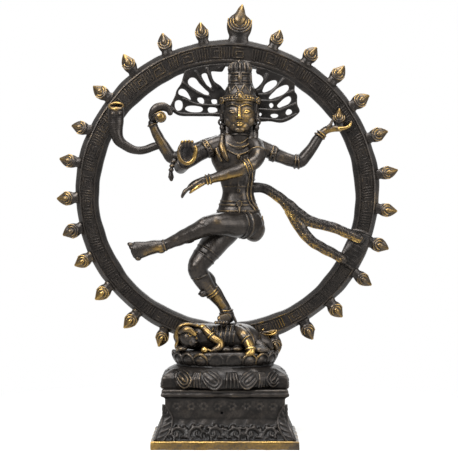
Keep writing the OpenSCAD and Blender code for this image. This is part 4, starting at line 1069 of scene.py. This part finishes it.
def hair():
    outline = [(4, 138.6), (-13, 138.2), (-23.3, 138.2), (-31.4, 138.4), (-35.7, 140.5), (-38.4, 143.7),
               (-36.4, 148.4), (-34.8, 152.5), (-34.1, 155.5), (-30.9, 160.1), (-29.4, 165), (-28, 168.4),
               (-22.1, 170.6), (-15.2, 172), (-7.1, 173), (-1.4, 173.3), (2.4, 173), (4, 165), (4, 149)]
    gaps = [[(-34.8, 148.1), (-32.3, 149), (-30.2, 147.7), (-29.9, 144.7), (-31.1, 142.3), (-33.7, 141.9),
             (-35.2, 144.7)],
            [(-28.1, 142.8), (-26.7, 144.7), (-22.1, 145.1), (-17.3, 144.2), (-16.6, 142.3), (-18.7, 141),
             (-24.4, 141)],
            [(-12.9, 142.3), (-12, 144), (-7.4, 143.7), (-6.9, 141.2), (-11.5, 140.5)],
            [(-19.6, 150.4), (-17.1, 150.4), (-15.7, 149), (-15.9, 146.5), (-18.2, 147), (-19.8, 148.8)],
            [(-10.8, 149), (-8.3, 149.6), (-6.9, 148.8), (-7.1, 146.5), (-9.9, 146.5)],
            [(-32.5, 155), (-30.7, 156.4), (-28.1, 155.5), (-26.1, 153), (-24.2, 149), (-28.1, 151.1),
             (-32.1, 152.7)],
            [(-26.3, 161.5), (-24.7, 163.8), (-21.4, 163.4), (-18.2, 159.4), (-14.5, 156), (-12.4, 154.1),
             (-12.9, 152), (-16.8, 153.4), (-21.9, 156.4), (-25.4, 159)],
            [(-16.9, 166.1), (-14, 166.6), (-12.2, 162), (-10.4, 158), (-12, 157.1), (-14.5, 160.4),
             (-16.6, 163.8)],
            [(-10.8, 167.3), (-9.2, 168), (-5, 167.7), (-3, 168.2), (-2, 172.1), (1, 172.4), (1.4, 166.6),
             (-0.4, 155.5), (-4.6, 158.7), (-8.7, 161.7)]]
    plaits = [[(-10, 155), (-14, 158.5), (-18.5, 163.5), (-21, 168)],
              [(-6, 157), (-10, 161), (-12.4, 166), (-13.5, 170)],
              [(-12, 151.4), (-18, 152.8), (-24, 156.2), (-29.5, 160.5)],
              [(-5, 145.2), (-13, 145.3), (-21, 146.2), (-29, 149.6)],
              [(-5, 139.4), (-14, 139.3), (-31, 139.7), (-36, 142.6)]]
    strands("left_hair_plaits", "left_hair", outline, gaps, plaits, [(-5, 170.4, 1.3), (-24, 167.4, 1.1)])
    outline = [(14, 171.8), (20.6, 170.9), (27.5, 168.9), (36.7, 165.2), (44.6, 160.6), (45.2, 158.4),
               (45, 154.8), (46.9, 151.6), (46.7, 146), (48.5, 141.4), (45, 137.7), (37.2, 133.8),
               (27.5, 134.7), (14, 135), (12, 144.7), (12, 160.8)]
    gaps = [[(23.6, 155.3), (25.7, 159.4), (29.8, 162), (32.8, 162), (33, 159.4), (28.9, 155.7), (24.5, 154.1)],
            [(28.2, 150.9), (32.1, 155.5), (37.7, 158.7), (40.7, 158.7), (40.7, 155.7), (35.8, 152),
             (28.9, 149.7)],
            [(33.6, 145.6), (36.7, 149), (41.1, 151.4), (42.7, 149.5), (41.1, 146.5), (37.2, 144.7),
             (34.4, 144)],
            [(28, 145.6), (29.3, 147), (30.7, 145.6), (29.3, 143.7)],
            [(28.7, 138.9), (30.5, 139.9), (33.3, 139.6), (34.1, 138.4), (32.6, 137.2), (30, 137.3)],
            [(39, 140.5), (40.4, 142.6), (42.7, 142.3), (43.1, 140.5), (41.3, 139.1), (39.5, 139.1)],
            [(21.3, 139.6), (22.2, 140.5), (22.9, 139.6), (22.2, 138.2)],
            [(16.4, 170.4), (19.4, 169.8), (20.1, 166.8), (23.1, 164.7), (23.8, 162), (19.6, 156.9),
             (17.8, 157.4), (16.5, 163.1)]]
    plaits = [[(19, 154.6), (22.4, 156.4), (24.8, 161), (26.6, 166)],
              [(21, 152.4), (28.4, 153.2), (33.6, 158), (37.4, 163)],
              [(23, 148.4), (32, 148.2), (38, 152.2), (44, 155)],
              [(21, 142.6), (33, 141.9), (38, 143.2), (45.6, 146.4)],
              [(20, 136.6), (28, 136), (37, 135.4), (46, 139.4)]]
    strands("right_hair_plaits", "right_hair", outline, gaps, plaits, [(21.4, 168.2, 1.3), (36, 163.6, 1.1)])


def drum_arm():
    bm = bmesh.new()
    roll(bm, [(-6, 0, 120, 5.6), (-14, 0.3, 118, 5.3), (-23, 0.5, 114.4, 4.8), (-31, 0.5, 111.4, 4.3),
              (-36.4, 0.4, 110.4, 4.3), (-40, 0.2, 114.4, 4.0), (-43.3, 0, 119.6, 3.7), (-47.4, -0.4, 127, 3.2),
              (-50, -0.8, 133.2, 3.0)], sides=18)
    pellet(bm, (-49.2, -1.4, 138.4), (3.4, 3.6, 4.6), (0, 8, 0))
    for off, tip in ((-4.2, 0), (-1.8, 0.8), (0.6, 0.4)):
        roll(bm, [(-49.8, off, 137.4, 2.4, 1.4), (-49, off - 0.3, 141.2, 2.8, 1.5),
                  (-46, off - 0.6, 143.8, 2.9, 1.5), (-42, off - 0.8, 144, 2.7, 1.5),
                  (-38.8, off - 1, 141.8 + tip, 2.3, 1.4), (-37.8, off - 1.2, 139.2 + tip, 1.8, 1.2)], sides=10)
    roll(bm, [(-49.4, -3.4, 135.6, 1.5), (-48.4, -6, 136.8, 1.4), (-47.6, -7.6, 138.6, 1.1)], sides=10)
    bangles(bm, 22, [((-21.6, 0.5, 115), (-1, 0, -0.38), 5, 0.6), ((-24, 0.5, 114), (-1, 0, -0.38), 4.9, 0.6),
                     ((-49.7, -0.7, 132.6), (-0.4, -0.1, 1), 3.4, 0.6)])
    beads(bm, (-22.8, 0.5, 114.5), (-1, 0, -0.38), 5, 5, 0.55, 16)
    spots = [(-41.6, -4.2, 115, 3, 0.34), (-44.4, -4.2, 119.6, 2.8, 0.36), (-46.6, -4, 124, 2.8, 0.34),
             (-48.8, -3.8, 128.6, 2.8, 0.28), (-45, -4.5, 146, 3.4, 0.1)]
    cast("drum_arm_casting", bm, ["drum_arm"], patina, gild=0.15, spots=spots, grain=0.34)


def drum():
    bm = bmesh.new()
    x, z = -44.3, 137.3
    body = [(-7.9, 3.2), (-7.6, 3.6), (-6.8, 3.65), (-6.2, 3.2), (-3, 2.5), (0.2, 3.2), (0.8, 3.65), (1.6, 3.6),
            (1.9, 3.2)]
    roll(bm, [(x, y, z, r) for y, r in body], sides=24, steps=1, ends="flat")
    for y in (-7.4, 1.4):
        hoop(bm, (x, y, z), (0, 1, 0), 3.3, 3.3, 0.5, 24)
        pellet(bm, (x, y + (0.2 if y > 0 else -0.4), z), (2.4, 0.6, 2.4))
    for i in range(10):
        c, s = math.cos(i * math.pi / 5), math.sin(i * math.pi / 5)
        roll(bm, [(x + r * c, y, z + r * s, 0.35) for r, y in ((3.2, -6.4), (2.7, -3), (3.2, 0.4))], sides=6)
    bmesh.ops.scale(bm, vec=(0.98, 1, 0.98), space=Matrix.Translation((-x, 0, -z)), verts=bm.verts)
    cast("drum_casting", bm, ["drum"], rubbed, gild=0.2, spots=[(x + 0.5, -9, z + 0.5, 4, 0.4)], grain=0.28,
         passes=2, uneven=0.06)


def blessing_arm():
    bm = bmesh.new()
    roll(bm, [(-5, -4.5, 119.4, 5.9), (-12.4, -7, 116.4, 5.6), (-20, -9, 111.8, 5.1), (-26.6, -10.6, 107.2, 4.7),
              (-30.4, -12.4, 104, 4.5), (-30.4, -17, 104, 4.1), (-28.6, -22.6, 105.6, 3.6), (-27, -26, 108, 3.3)],
         sides=18)
    # Open hand: a hollow palm with a thick edge, fingers together above it
    pellet(bm, (-26, -27.6, 112.4), (5.7, 1.7, 7.2))
    hoop(bm, (-26, -28.6, 112.2), (0, 1, 0), 5.2, 6.7, 1.5, 30)
    for i in range(4):
        px = -29.3 + 2.15 * i
        roll(bm, [(px, -28.2, 116.6, 1.25), (px + 0.1, -29, 118.8, 1.25),
                  (px + 0.3, -30, 120.2 - 0.3 * abs(i - 1.5), 1.0)], sides=10)
    roll(bm, [(-21.6, -28.4, 110, 1.6), (-20.2, -29.4, 113.4, 1.4), (-20.4, -29.9, 116.2, 1.1)], sides=10)
    bangles(bm, 26, [((-12.4, -7, 116.6), (-0.82, -0.2, -0.5), 5.9, 0.75),
                     ((-14.4, -7.6, 115.4), (-0.82, -0.2, -0.5), 5.8, 0.75),
                     ((-28.3, -23, 106), (0.35, -0.8, 0.45), 4, 0.75)])
    beads(bm, (-13.4, -7.3, 116), (-0.82, -0.2, -0.5), 6, 6, 0.7, 18)
    spots = [(-21.2, -31, 109.4, 4, 0.42), (-25.6, -31, 105.4, 3.4, 0.4), (-30.6, -31, 108, 3, 0.28),
             (-31.6, -31, 113, 3.2, 0.26), (-27.5, -31.5, 120, 4, 0.32), (-20, -31, 114, 3, 0.3),
             (-26, -29.4, 112.6, 3.6, -0.34), (-13, -12, 120, 3, 0.16)]
    cast("blessing_arm_casting", bm, ["blessing_arm"], patina, gild=0.18, spots=spots, grain=0.34)


def arm_tassel():
    bm = bmesh.new()
    for px, pz, r in ((-35.5, 107.4, 2.1), (-36.3, 104.6, 1.9), (-37, 101.9, 1.75)):
        pellet(bm, (px, -11, pz), (r, r, r * 0.85))
        hoop(bm, (px, -11, pz), (0, 0, 1), r * 0.85, r * 0.85, 0.5, 16)
    roll(bm, [(-37.2, -11, 101, 1.1), (-37.2, -11, 98.6, 1.6), (-37, -11, 96.6, 1.65), (-36.9, -11, 95.6, 1.3)],
         sides=12)
    for i in range(6):
        c, s = math.cos(i * math.pi / 3), math.sin(i * math.pi / 3)
        roll(bm, [(-37.2 + c, -11 + s, 100.4, 0.4), (-37.1 + 1.6 * c, -11 + 1.6 * s, 97, 0.45)], sides=6, steps=2)
    cast("arm_tassel_casting", bm, ["arm_tassel"], patina, gild=0.26, spots=[(-36, -13, 104.5, 3.4, 0.14)],
         grain=0.3, passes=2, uneven=0.03)


def crossing_arm():
    bm = bmesh.new()
    roll(bm, [(17.6, -4, 118.6, 6.2), (19.8, -9, 114, 5.7), (19.6, -13.6, 109.4, 5.0), (16.4, -17.6, 105.8, 4.7),
              (10.6, -19.4, 102.8, 4.4), (4.8, -20, 100.3, 4.0), (-4, -20.4, 97.6, 3.5), (-12.6, -20.5, 95.4, 2.9)],
         sides=18)
    # Hanging hand, fingers side by side, thumb below
    roll(bm, [(-12.2, -20.5, 95.5, 2.7, 2.9), (-17, -20.4, 94.2, 2.8, 3.6), (-21, -20, 92.2, 2.8, 3.8),
              (-24, -19.8, 90, 2.3, 3.4)], sides=14)
    for i in range(4):
        y = -22.6 + 1.85 * i
        drop = (0.6, 0, 0.3, 1.4)[i]
        roll(bm, [(-22.4, y, 91.4, 1.4), (-25.4, y, 89.4, 1.3), (-28, y, 86.4 + drop, 1.15),
                  (-29.4, y, 83.8 + drop, 0.9)], sides=10)
    roll(bm, [(-15.6, -22.6, 92.8, 1.5), (-19, -23.8, 90.6, 1.35), (-22.2, -23.6, 88.4, 1.1),
              (-24.2, -23, 86.8, 0.8)], sides=10)
    bangles(bm, 24, [((14.4, -18.4, 104.8), (-0.9, -0.22, -0.42), 4.8, 0.55),
                     ((11.8, -19.1, 103.5), (-0.92, -0.15, -0.42), 4.6, 0.5),
                     ((-11.4, -20.5, 95.7), (-0.97, 0, -0.25), 3.4, 0.5),
                     ((-13.4, -20.5, 95.2), (-0.97, 0, -0.27), 3.3, 0.5),
                     ((19.9, -10.4, 112.4), (0, -0.75, -0.65), 5.7, 0.75)])
    beads(bm, (13.1, -18.8, 104.2), (-0.9, -0.2, -0.42), 4.8, 4.8, 0.5, 18)
    # The last spot, on the shoulder, is rubbed brass and also a painted highlight.
    spots = [(8, -22, 97.6, 4, 0.48), (2, -22.6, 95.8, 4, 0.46), (-4, -22.8, 94.2, 3.6, 0.44),
             (-9, -22.8, 93, 3.4, 0.5), (-13, -23, 92.6, 3, 0.4), (14.6, -22.5, 103.6, 4, 0.3),
             (12, -22.5, 106.6, 3.2, 0.34), (-19, -24.6, 89.6, 3.6, 0.46), (-22.6, -24, 88, 2.6, 0.34),
             (19, -14, 113, 5, 0.2)]
    cast("crossing_arm_casting", bm, ["crossing_arm"], patina, gild=0.17, spots=spots, grain=0.34)


def flame_arm():
    bm = bmesh.new()
    roll(bm, [(16, 0, 119.6, 5.6), (25.2, 0.2, 115.8, 5.1), (34.7, 0.5, 111.5, 4.6), (43, 0.5, 108.6, 4.3),
              (48.4, 0.5, 107.8, 4.3), (52.2, 0.5, 111.4, 4.0), (56.5, 0.6, 117, 3.6), (60.4, 0.8, 122.8, 3.2),
              (63.6, 1, 127, 2.9)], sides=18)
    # Hand bent back flat, fingers curled up at the end
    roll(bm, [(62.8, 1, 126.4, 2.8, 2.6), (66.4, 1.1, 129, 2.6, 2.7), (71, 1.2, 129.8, 2.3, 2.6),
              (76, 1.2, 129.8, 2.0, 2.5)], sides=14)
    for i in range(3):
        y = -0.9 + 1.75 * i
        roll(bm, [(74.4, y, 129.8, 1.25), (78.4, y, 130, 1.2), (81.4, y, 131.6, 1.1), (82.6, y, 134.2, 0.85)],
             sides=10)
    roll(bm, [(67, -0.8, 130.4, 1.3), (69, -1.4, 132.6, 1.15), (69.6, -1.5, 134.6, 0.9)], sides=10)
    bangles(bm, 22, [((29.6, 0.3, 113.4), (0.95, 0, -0.32), 5.1, 0.75),
                     ((32, 0.4, 112.5), (0.95, 0, -0.32), 5, 0.75), ((45.4, 0.5, 108), (0.99, 0, -0.1), 4.7, 0.65),
                     ((47.4, 0.5, 107.8), (0.99, 0, 0.05), 4.7, 0.65),
                     ((61.8, 0.9, 124.8), (0.55, 0, 0.82), 3.5, 0.7), ((63, 1, 126.4), (0.6, 0, 0.8), 3.4, 0.6)])
    beads(bm, (30.8, 0.3, 113), (0.95, 0, -0.32), 5.1, 5.1, 0.65, 16)
    spots = [(70, -1.5, 127, 4, 0.5), (76, -1.5, 127.6, 4, 0.48), (82, -1, 131, 3, 0.46),
             (64.6, -2, 126.5, 3.4, 0.3), (38, -4.4, 109.5, 5, 0.18), (27, -5, 116, 5, 0.1)]
    cast("flame_arm_casting", bm, ["flame_arm"], patina, gild=0.18, spots=spots, grain=0.34)


def serpent():
    bm = bmesh.new()
    line = smooth_line([(-43.7, 1, 119, 2.5), (-48.1, 1.2, 118.1, 2.7), (-54.6, 1.2, 115.8, 2.75),
                        (-61.5, 1, 115.5, 2.85), (-68.5, 0.8, 118.5, 3.2), (-73, 0.6, 123.4, 3.9, 3.3),
                        (-74.4, 0.2, 130.9, 4.9, 3.5), (-74.2, -0.2, 138.8, 5.3, 3.7), (-74, -0.4, 144, 5.3, 3.6)],
                       6)
    roll(bm, line, sides=18, steps=1, ends="flat")
    for i in range(3, len(line) - 4):
        ahead = Vector(line[i + 1][:3]) - Vector(line[i - 1][:3])
        hoop(bm, line[i][:3], ahead, line[i][3] - 0.1, line[i][4] - 0.1, 0.28, 18)
    # Hood: a rolled lip round a hollow, with two eyes
    hoop(bm, (-74, -0.8, 144.6), (0, -0.6, 0.8), 4.7, 3.7, 1.0, 28)
    for s in (-1, 1):
        pellet(bm, (-74 + s * 2.6, -3.8, 139.4), (0.7, 0.5, 0.7))
    spots = [(-74, -3.4, 142.2, 3, 0.34), (-78.4, -2, 145, 3, 0.3), (-70, -1, 145, 3, 0.26),
             (-74, 1.4, 148, 3.4, 0.4), (-74, -0.6, 143.8, 1.8, -0.2)]
    cast("serpent_casting", bm, ["serpent"], patina, gild=0.08, spots=spots, grain=0.36)


def sash():
    bm = bmesh.new()
    upper = [(13.9, 0.5, 90.2, 3.8, 3.2), (23.8, 1.2, 90.2, 3.4, 2.8), (30.8, 1.4, 86.7, 3.4, 2.7),
             (37.4, 1.4, 81.8, 3.7, 2.7), (43.7, 1.4, 75.6, 4.6, 2.8), (50.2, 1.4, 70.6, 4.3, 2.8),
             (58.2, 1.2, 67, 3.7, 2.8), (69.5, 1, 64.3, 3.5, 2.9), (77.6, 0.9, 61.1, 3.4, 3),
             (85.3, 0.9, 57.8, 3.3, 3), (89.4, 0.9, 55.8, 2.8, 3)]
    lower = [(41.7, 1.4, 75.6, 3.7, 2.8), (46.4, 1.4, 68, 4.3, 2.8), (51, 1.2, 60.7, 3.9, 2.8),
             (56.6, 1, 54.6, 3.6, 2.9), (64.5, 0.9, 49.8, 3.5, 3), (72.4, 0.9, 45.7, 3.4, 3),
             (77.9, 0.9, 42.1, 3, 3)]
    worn = []
    ridge_step = 1.8
    for rows, bare in ((upper, 14), (lower, 0)):
        line = smooth_line(rows, 8)
        roll(bm, line, sides=18, steps=1)
        # Slanting ridges broken in three, and a rolled edge along the lower side, which is rubbed bright
        edge, gone, count = [], 0.0, 0
        for i in range(bare, len(line) - 1):
            here, wide, deep = Vector(line[i][:3]), line[i][3], line[i][4]
            ahead = Vector(line[i + 1][:3]) - here
            across = ahead.normalized().cross(Vector((0, 1, 0)))
            across = -across if across.z > 0 else across
            edge.append((*(here + across * wide * 0.86 - Vector((0, 1.3, 0))), 0.7))
            gone += ahead.length
            if gone > ridge_step:
                gone, count = 0.0, count + 1
                slant = ahead.normalized() * (0.8 if count % 2 else -0.8)
                for a, b in ((-0.85, -0.3), (-0.3, 0.3), (0.3, 0.8)):
                    ridge = [here + across * s * wide + slant * k
                             + Vector((0, 0.1 - deep * math.sqrt(1 - s * s), 0)) for s, k in ((a, -1), (b, 1))]
                    roll(bm, [(*p, chance.uniform(0.3, 0.5)) for p in ridge], sides=6, steps=2)
                worn.append((*(here + across * wide * 0.3 - Vector((0, deep, 0))), 1.5, chance.uniform(0.04, 0.32)))
        roll(bm, edge[::3], sides=6, steps=2)
        worn += [(e[0], e[1] - 1, e[2], 1.7, chance.uniform(0.36, 0.5)) for e in edge[::3]]
    # Wrapping on the ring where both ends are tied
    tie = smooth_line([(90.2, 3.3, 61, 6.2, 1.3), (89, 3.2, 57, 6.8, 1.4), (86.4, 3.2, 50, 7, 1.4),
                       (82.4, 3.2, 42.6, 6.8, 1.4), (79.8, 3.3, 39, 6.2, 1.3)], 5)
    roll(bm, tie, sides=14, steps=1)
    for i in range(1, len(tie) - 1, 2):
        across = (Vector(tie[i + 1][:3]) - Vector(tie[i - 1][:3])).normalized().cross(Vector((0, 1, 0)))
        mid = Vector(tie[i][:3])
        cord = [mid + across * t * 6 + Vector((0, -1.2 + 0.9 * t * t, chance.uniform(-0.5, 0.5)))
                for t in (-1, -0.5, 0, 0.5, 1)]
        roll(bm, [(*p, 0.4) for p in cord], steps=2)
    cast("sash_casting", bm, ["sash"], patina, gild=0.3, spots=worn, grain=0.32, passes=2, keep=0.45, uneven=0.12,
         ground=0.2)


def anklet_bell():
    bm = bmesh.new()
    roll(bm, [(-12.6, -8.8, 21, 1.4), (-14.4, -9.3, 20.7, 1.6)], sides=12, steps=1)
    pellet(bm, (-16.2, -9.8, 20.3), (2.6, 2.7, 2.6))
    hoop(bm, (-15, -9.5, 20.5), (-0.95, -0.25, -0.1), 2.1, 2.1, 0.55, 18)
    pellet(bm, (-18.6, -10.4, 20), (0.8, 0.8, 0.8))
    cast("anklet_bell_casting", bm, ["anklet_bell"], patina, gild=0.2, grain=0.26, passes=2, uneven=0.02)


for make in (plinth, corner_leaves, lotus_seat, dwarf, halo_ring, flames, torso, standing_leg, raised_leg, head,
             crown, earrings, hair, drum_arm, drum, blessing_arm, arm_tassel, crossing_arm, flame_arm, serpent,
             sash, anklet_bell):
    make()
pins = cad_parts["ring_pins"]
pins.data.materials.clear()
pins.data.materials.append(rubbed)


# Floor, light and camera

def studio():
    scene = bpy.context.scene
    scene.view_settings.view_transform = "Standard"
    floor = bmesh.new()
    bmesh.ops.create_circle(floor, cap_ends=True, segments=64, radius=1.6)
    obj = bpy.data.objects.new("floor", taken(floor))
    scene.collection.objects.link(obj)
    # White painted board: matt, and the same white as the backdrop away from the object's shadow
    paint = bpy.data.materials.new("white_board")
    paint.use_nodes = True
    tree = paint.node_tree
    tree.nodes.clear()
    place = add_node(tree, "TexCoord").outputs["Object"]
    away = add_node(tree, "VectorMath", {"operation": "LENGTH"}, {0: place}).outputs["Value"]
    far = add_node(tree, "MapRange", {"interpolation_type": "SMOOTHSTEP"},
                   {"Value": away, "From Min": 0.06, "From Max": 0.3, "To Min": 0.35, "To Max": 1.0}).outputs[0]
    path = add_node(tree, "LightPath")
    seen = add_node(tree, "Math", {"operation": "MAXIMUM"},
                    {0: path.outputs["Is Camera Ray"], 1: path.outputs["Is Glossy Ray"]}).outputs[0]
    share = add_node(tree, "Math", {"operation": "MULTIPLY"}, {0: far, 1: seen}).outputs[0]
    matt = add_node(tree, "BsdfDiffuse", None, {"Color": linear("#dededc")})
    glow = add_node(tree, "Emission", None, {"Color": (1, 1, 1, 1), "Strength": 1.0})
    mix = add_node(tree, "MixShader", None, {0: share, 1: matt.outputs[0], 2: glow.outputs[0]})
    add_node(tree, "OutputMaterial", None, {"Surface": mix.outputs[0]})
    obj.data.materials.append(paint)
    # White room: white where it is seen, darker for metal that faces the dim front of the room
    world = bpy.data.worlds.new("white_room")
    scene.world = world
    world.use_nodes = True
    tree = world.node_tree
    tree.nodes.clear()
    way = add_node(tree, "TexCoord").outputs["Generated"]
    up = add_node(tree, "VectorMath", {"operation": "DOT_PRODUCT"}, {0: way, 1: (0.0, 0.55, 0.75)}).outputs["Value"]
    shade = add_node(tree, "MapRange", None,
                     {"Value": up, "From Min": -0.35, "From Max": 0.62, "To Min": 0.05, "To Max": 1.0}).outputs[0]
    path = add_node(tree, "LightPath")
    gloss = add_node(tree, "Math", {"operation": "MAXIMUM"},
                     {0: path.outputs["Is Glossy Ray"], 1: path.outputs["Is Transmission Ray"]}).outputs[0]
    plain = add_node(tree, "Background", None, {"Color": (1, 1, 1, 1), "Strength": 0.3})
    mirror = add_node(tree, "Background", None, {"Color": shade, "Strength": 1.0})
    white = add_node(tree, "Background", None, {"Color": (1, 1, 1, 1), "Strength": 1.0})
    first = add_node(tree, "MixShader", None, {0: gloss, 1: plain.outputs[0], 2: mirror.outputs[0]})
    both = add_node(tree, "MixShader", None,
                    {0: path.outputs["Is Camera Ray"], 1: first.outputs[0], 2: white.outputs[0]})
    add_node(tree, "OutputWorld", None, {"Surface": both.outputs[0]})
    aim = Vector((0, 0, 0.15))
    for name, place, size, power in (("key", (-0.55, -0.85, 0.75), 0.6, 22), ("fill", (0.75, -0.8, 0.45), 0.8, 12),
                                     ("top", (0.05, -0.25, 1.05), 0.6, 14), ("back", (0.15, 0.95, 0.95), 0.9, 9)):
        lamp = bpy.data.lights.new(name, "AREA")
        lamp.size = size
        lamp.energy = power
        light = bpy.data.objects.new(name, lamp)
        light.location = place
        light.rotation_mode = "QUATERNION"
        light.rotation_quaternion = (aim - Vector(place)).to_track_quat("-Z", "Y")
        scene.collection.objects.link(light)
    view = bpy.data.cameras.new("camera")
    view.sensor_width = 36
    view.lens = 105.9
    camera = bpy.data.objects.new("camera", view)
    eye, looked_at = Vector((0.00115, -0.9, 0.1581)), Vector((0.00115, 0.008, 0.1424))
    camera.location = eye
    camera.rotation_mode = "QUATERNION"
    camera.rotation_quaternion = (looked_at - eye).to_track_quat("-Z", "Y")
    scene.collection.objects.link(camera)
    scene.camera = camera


studio()
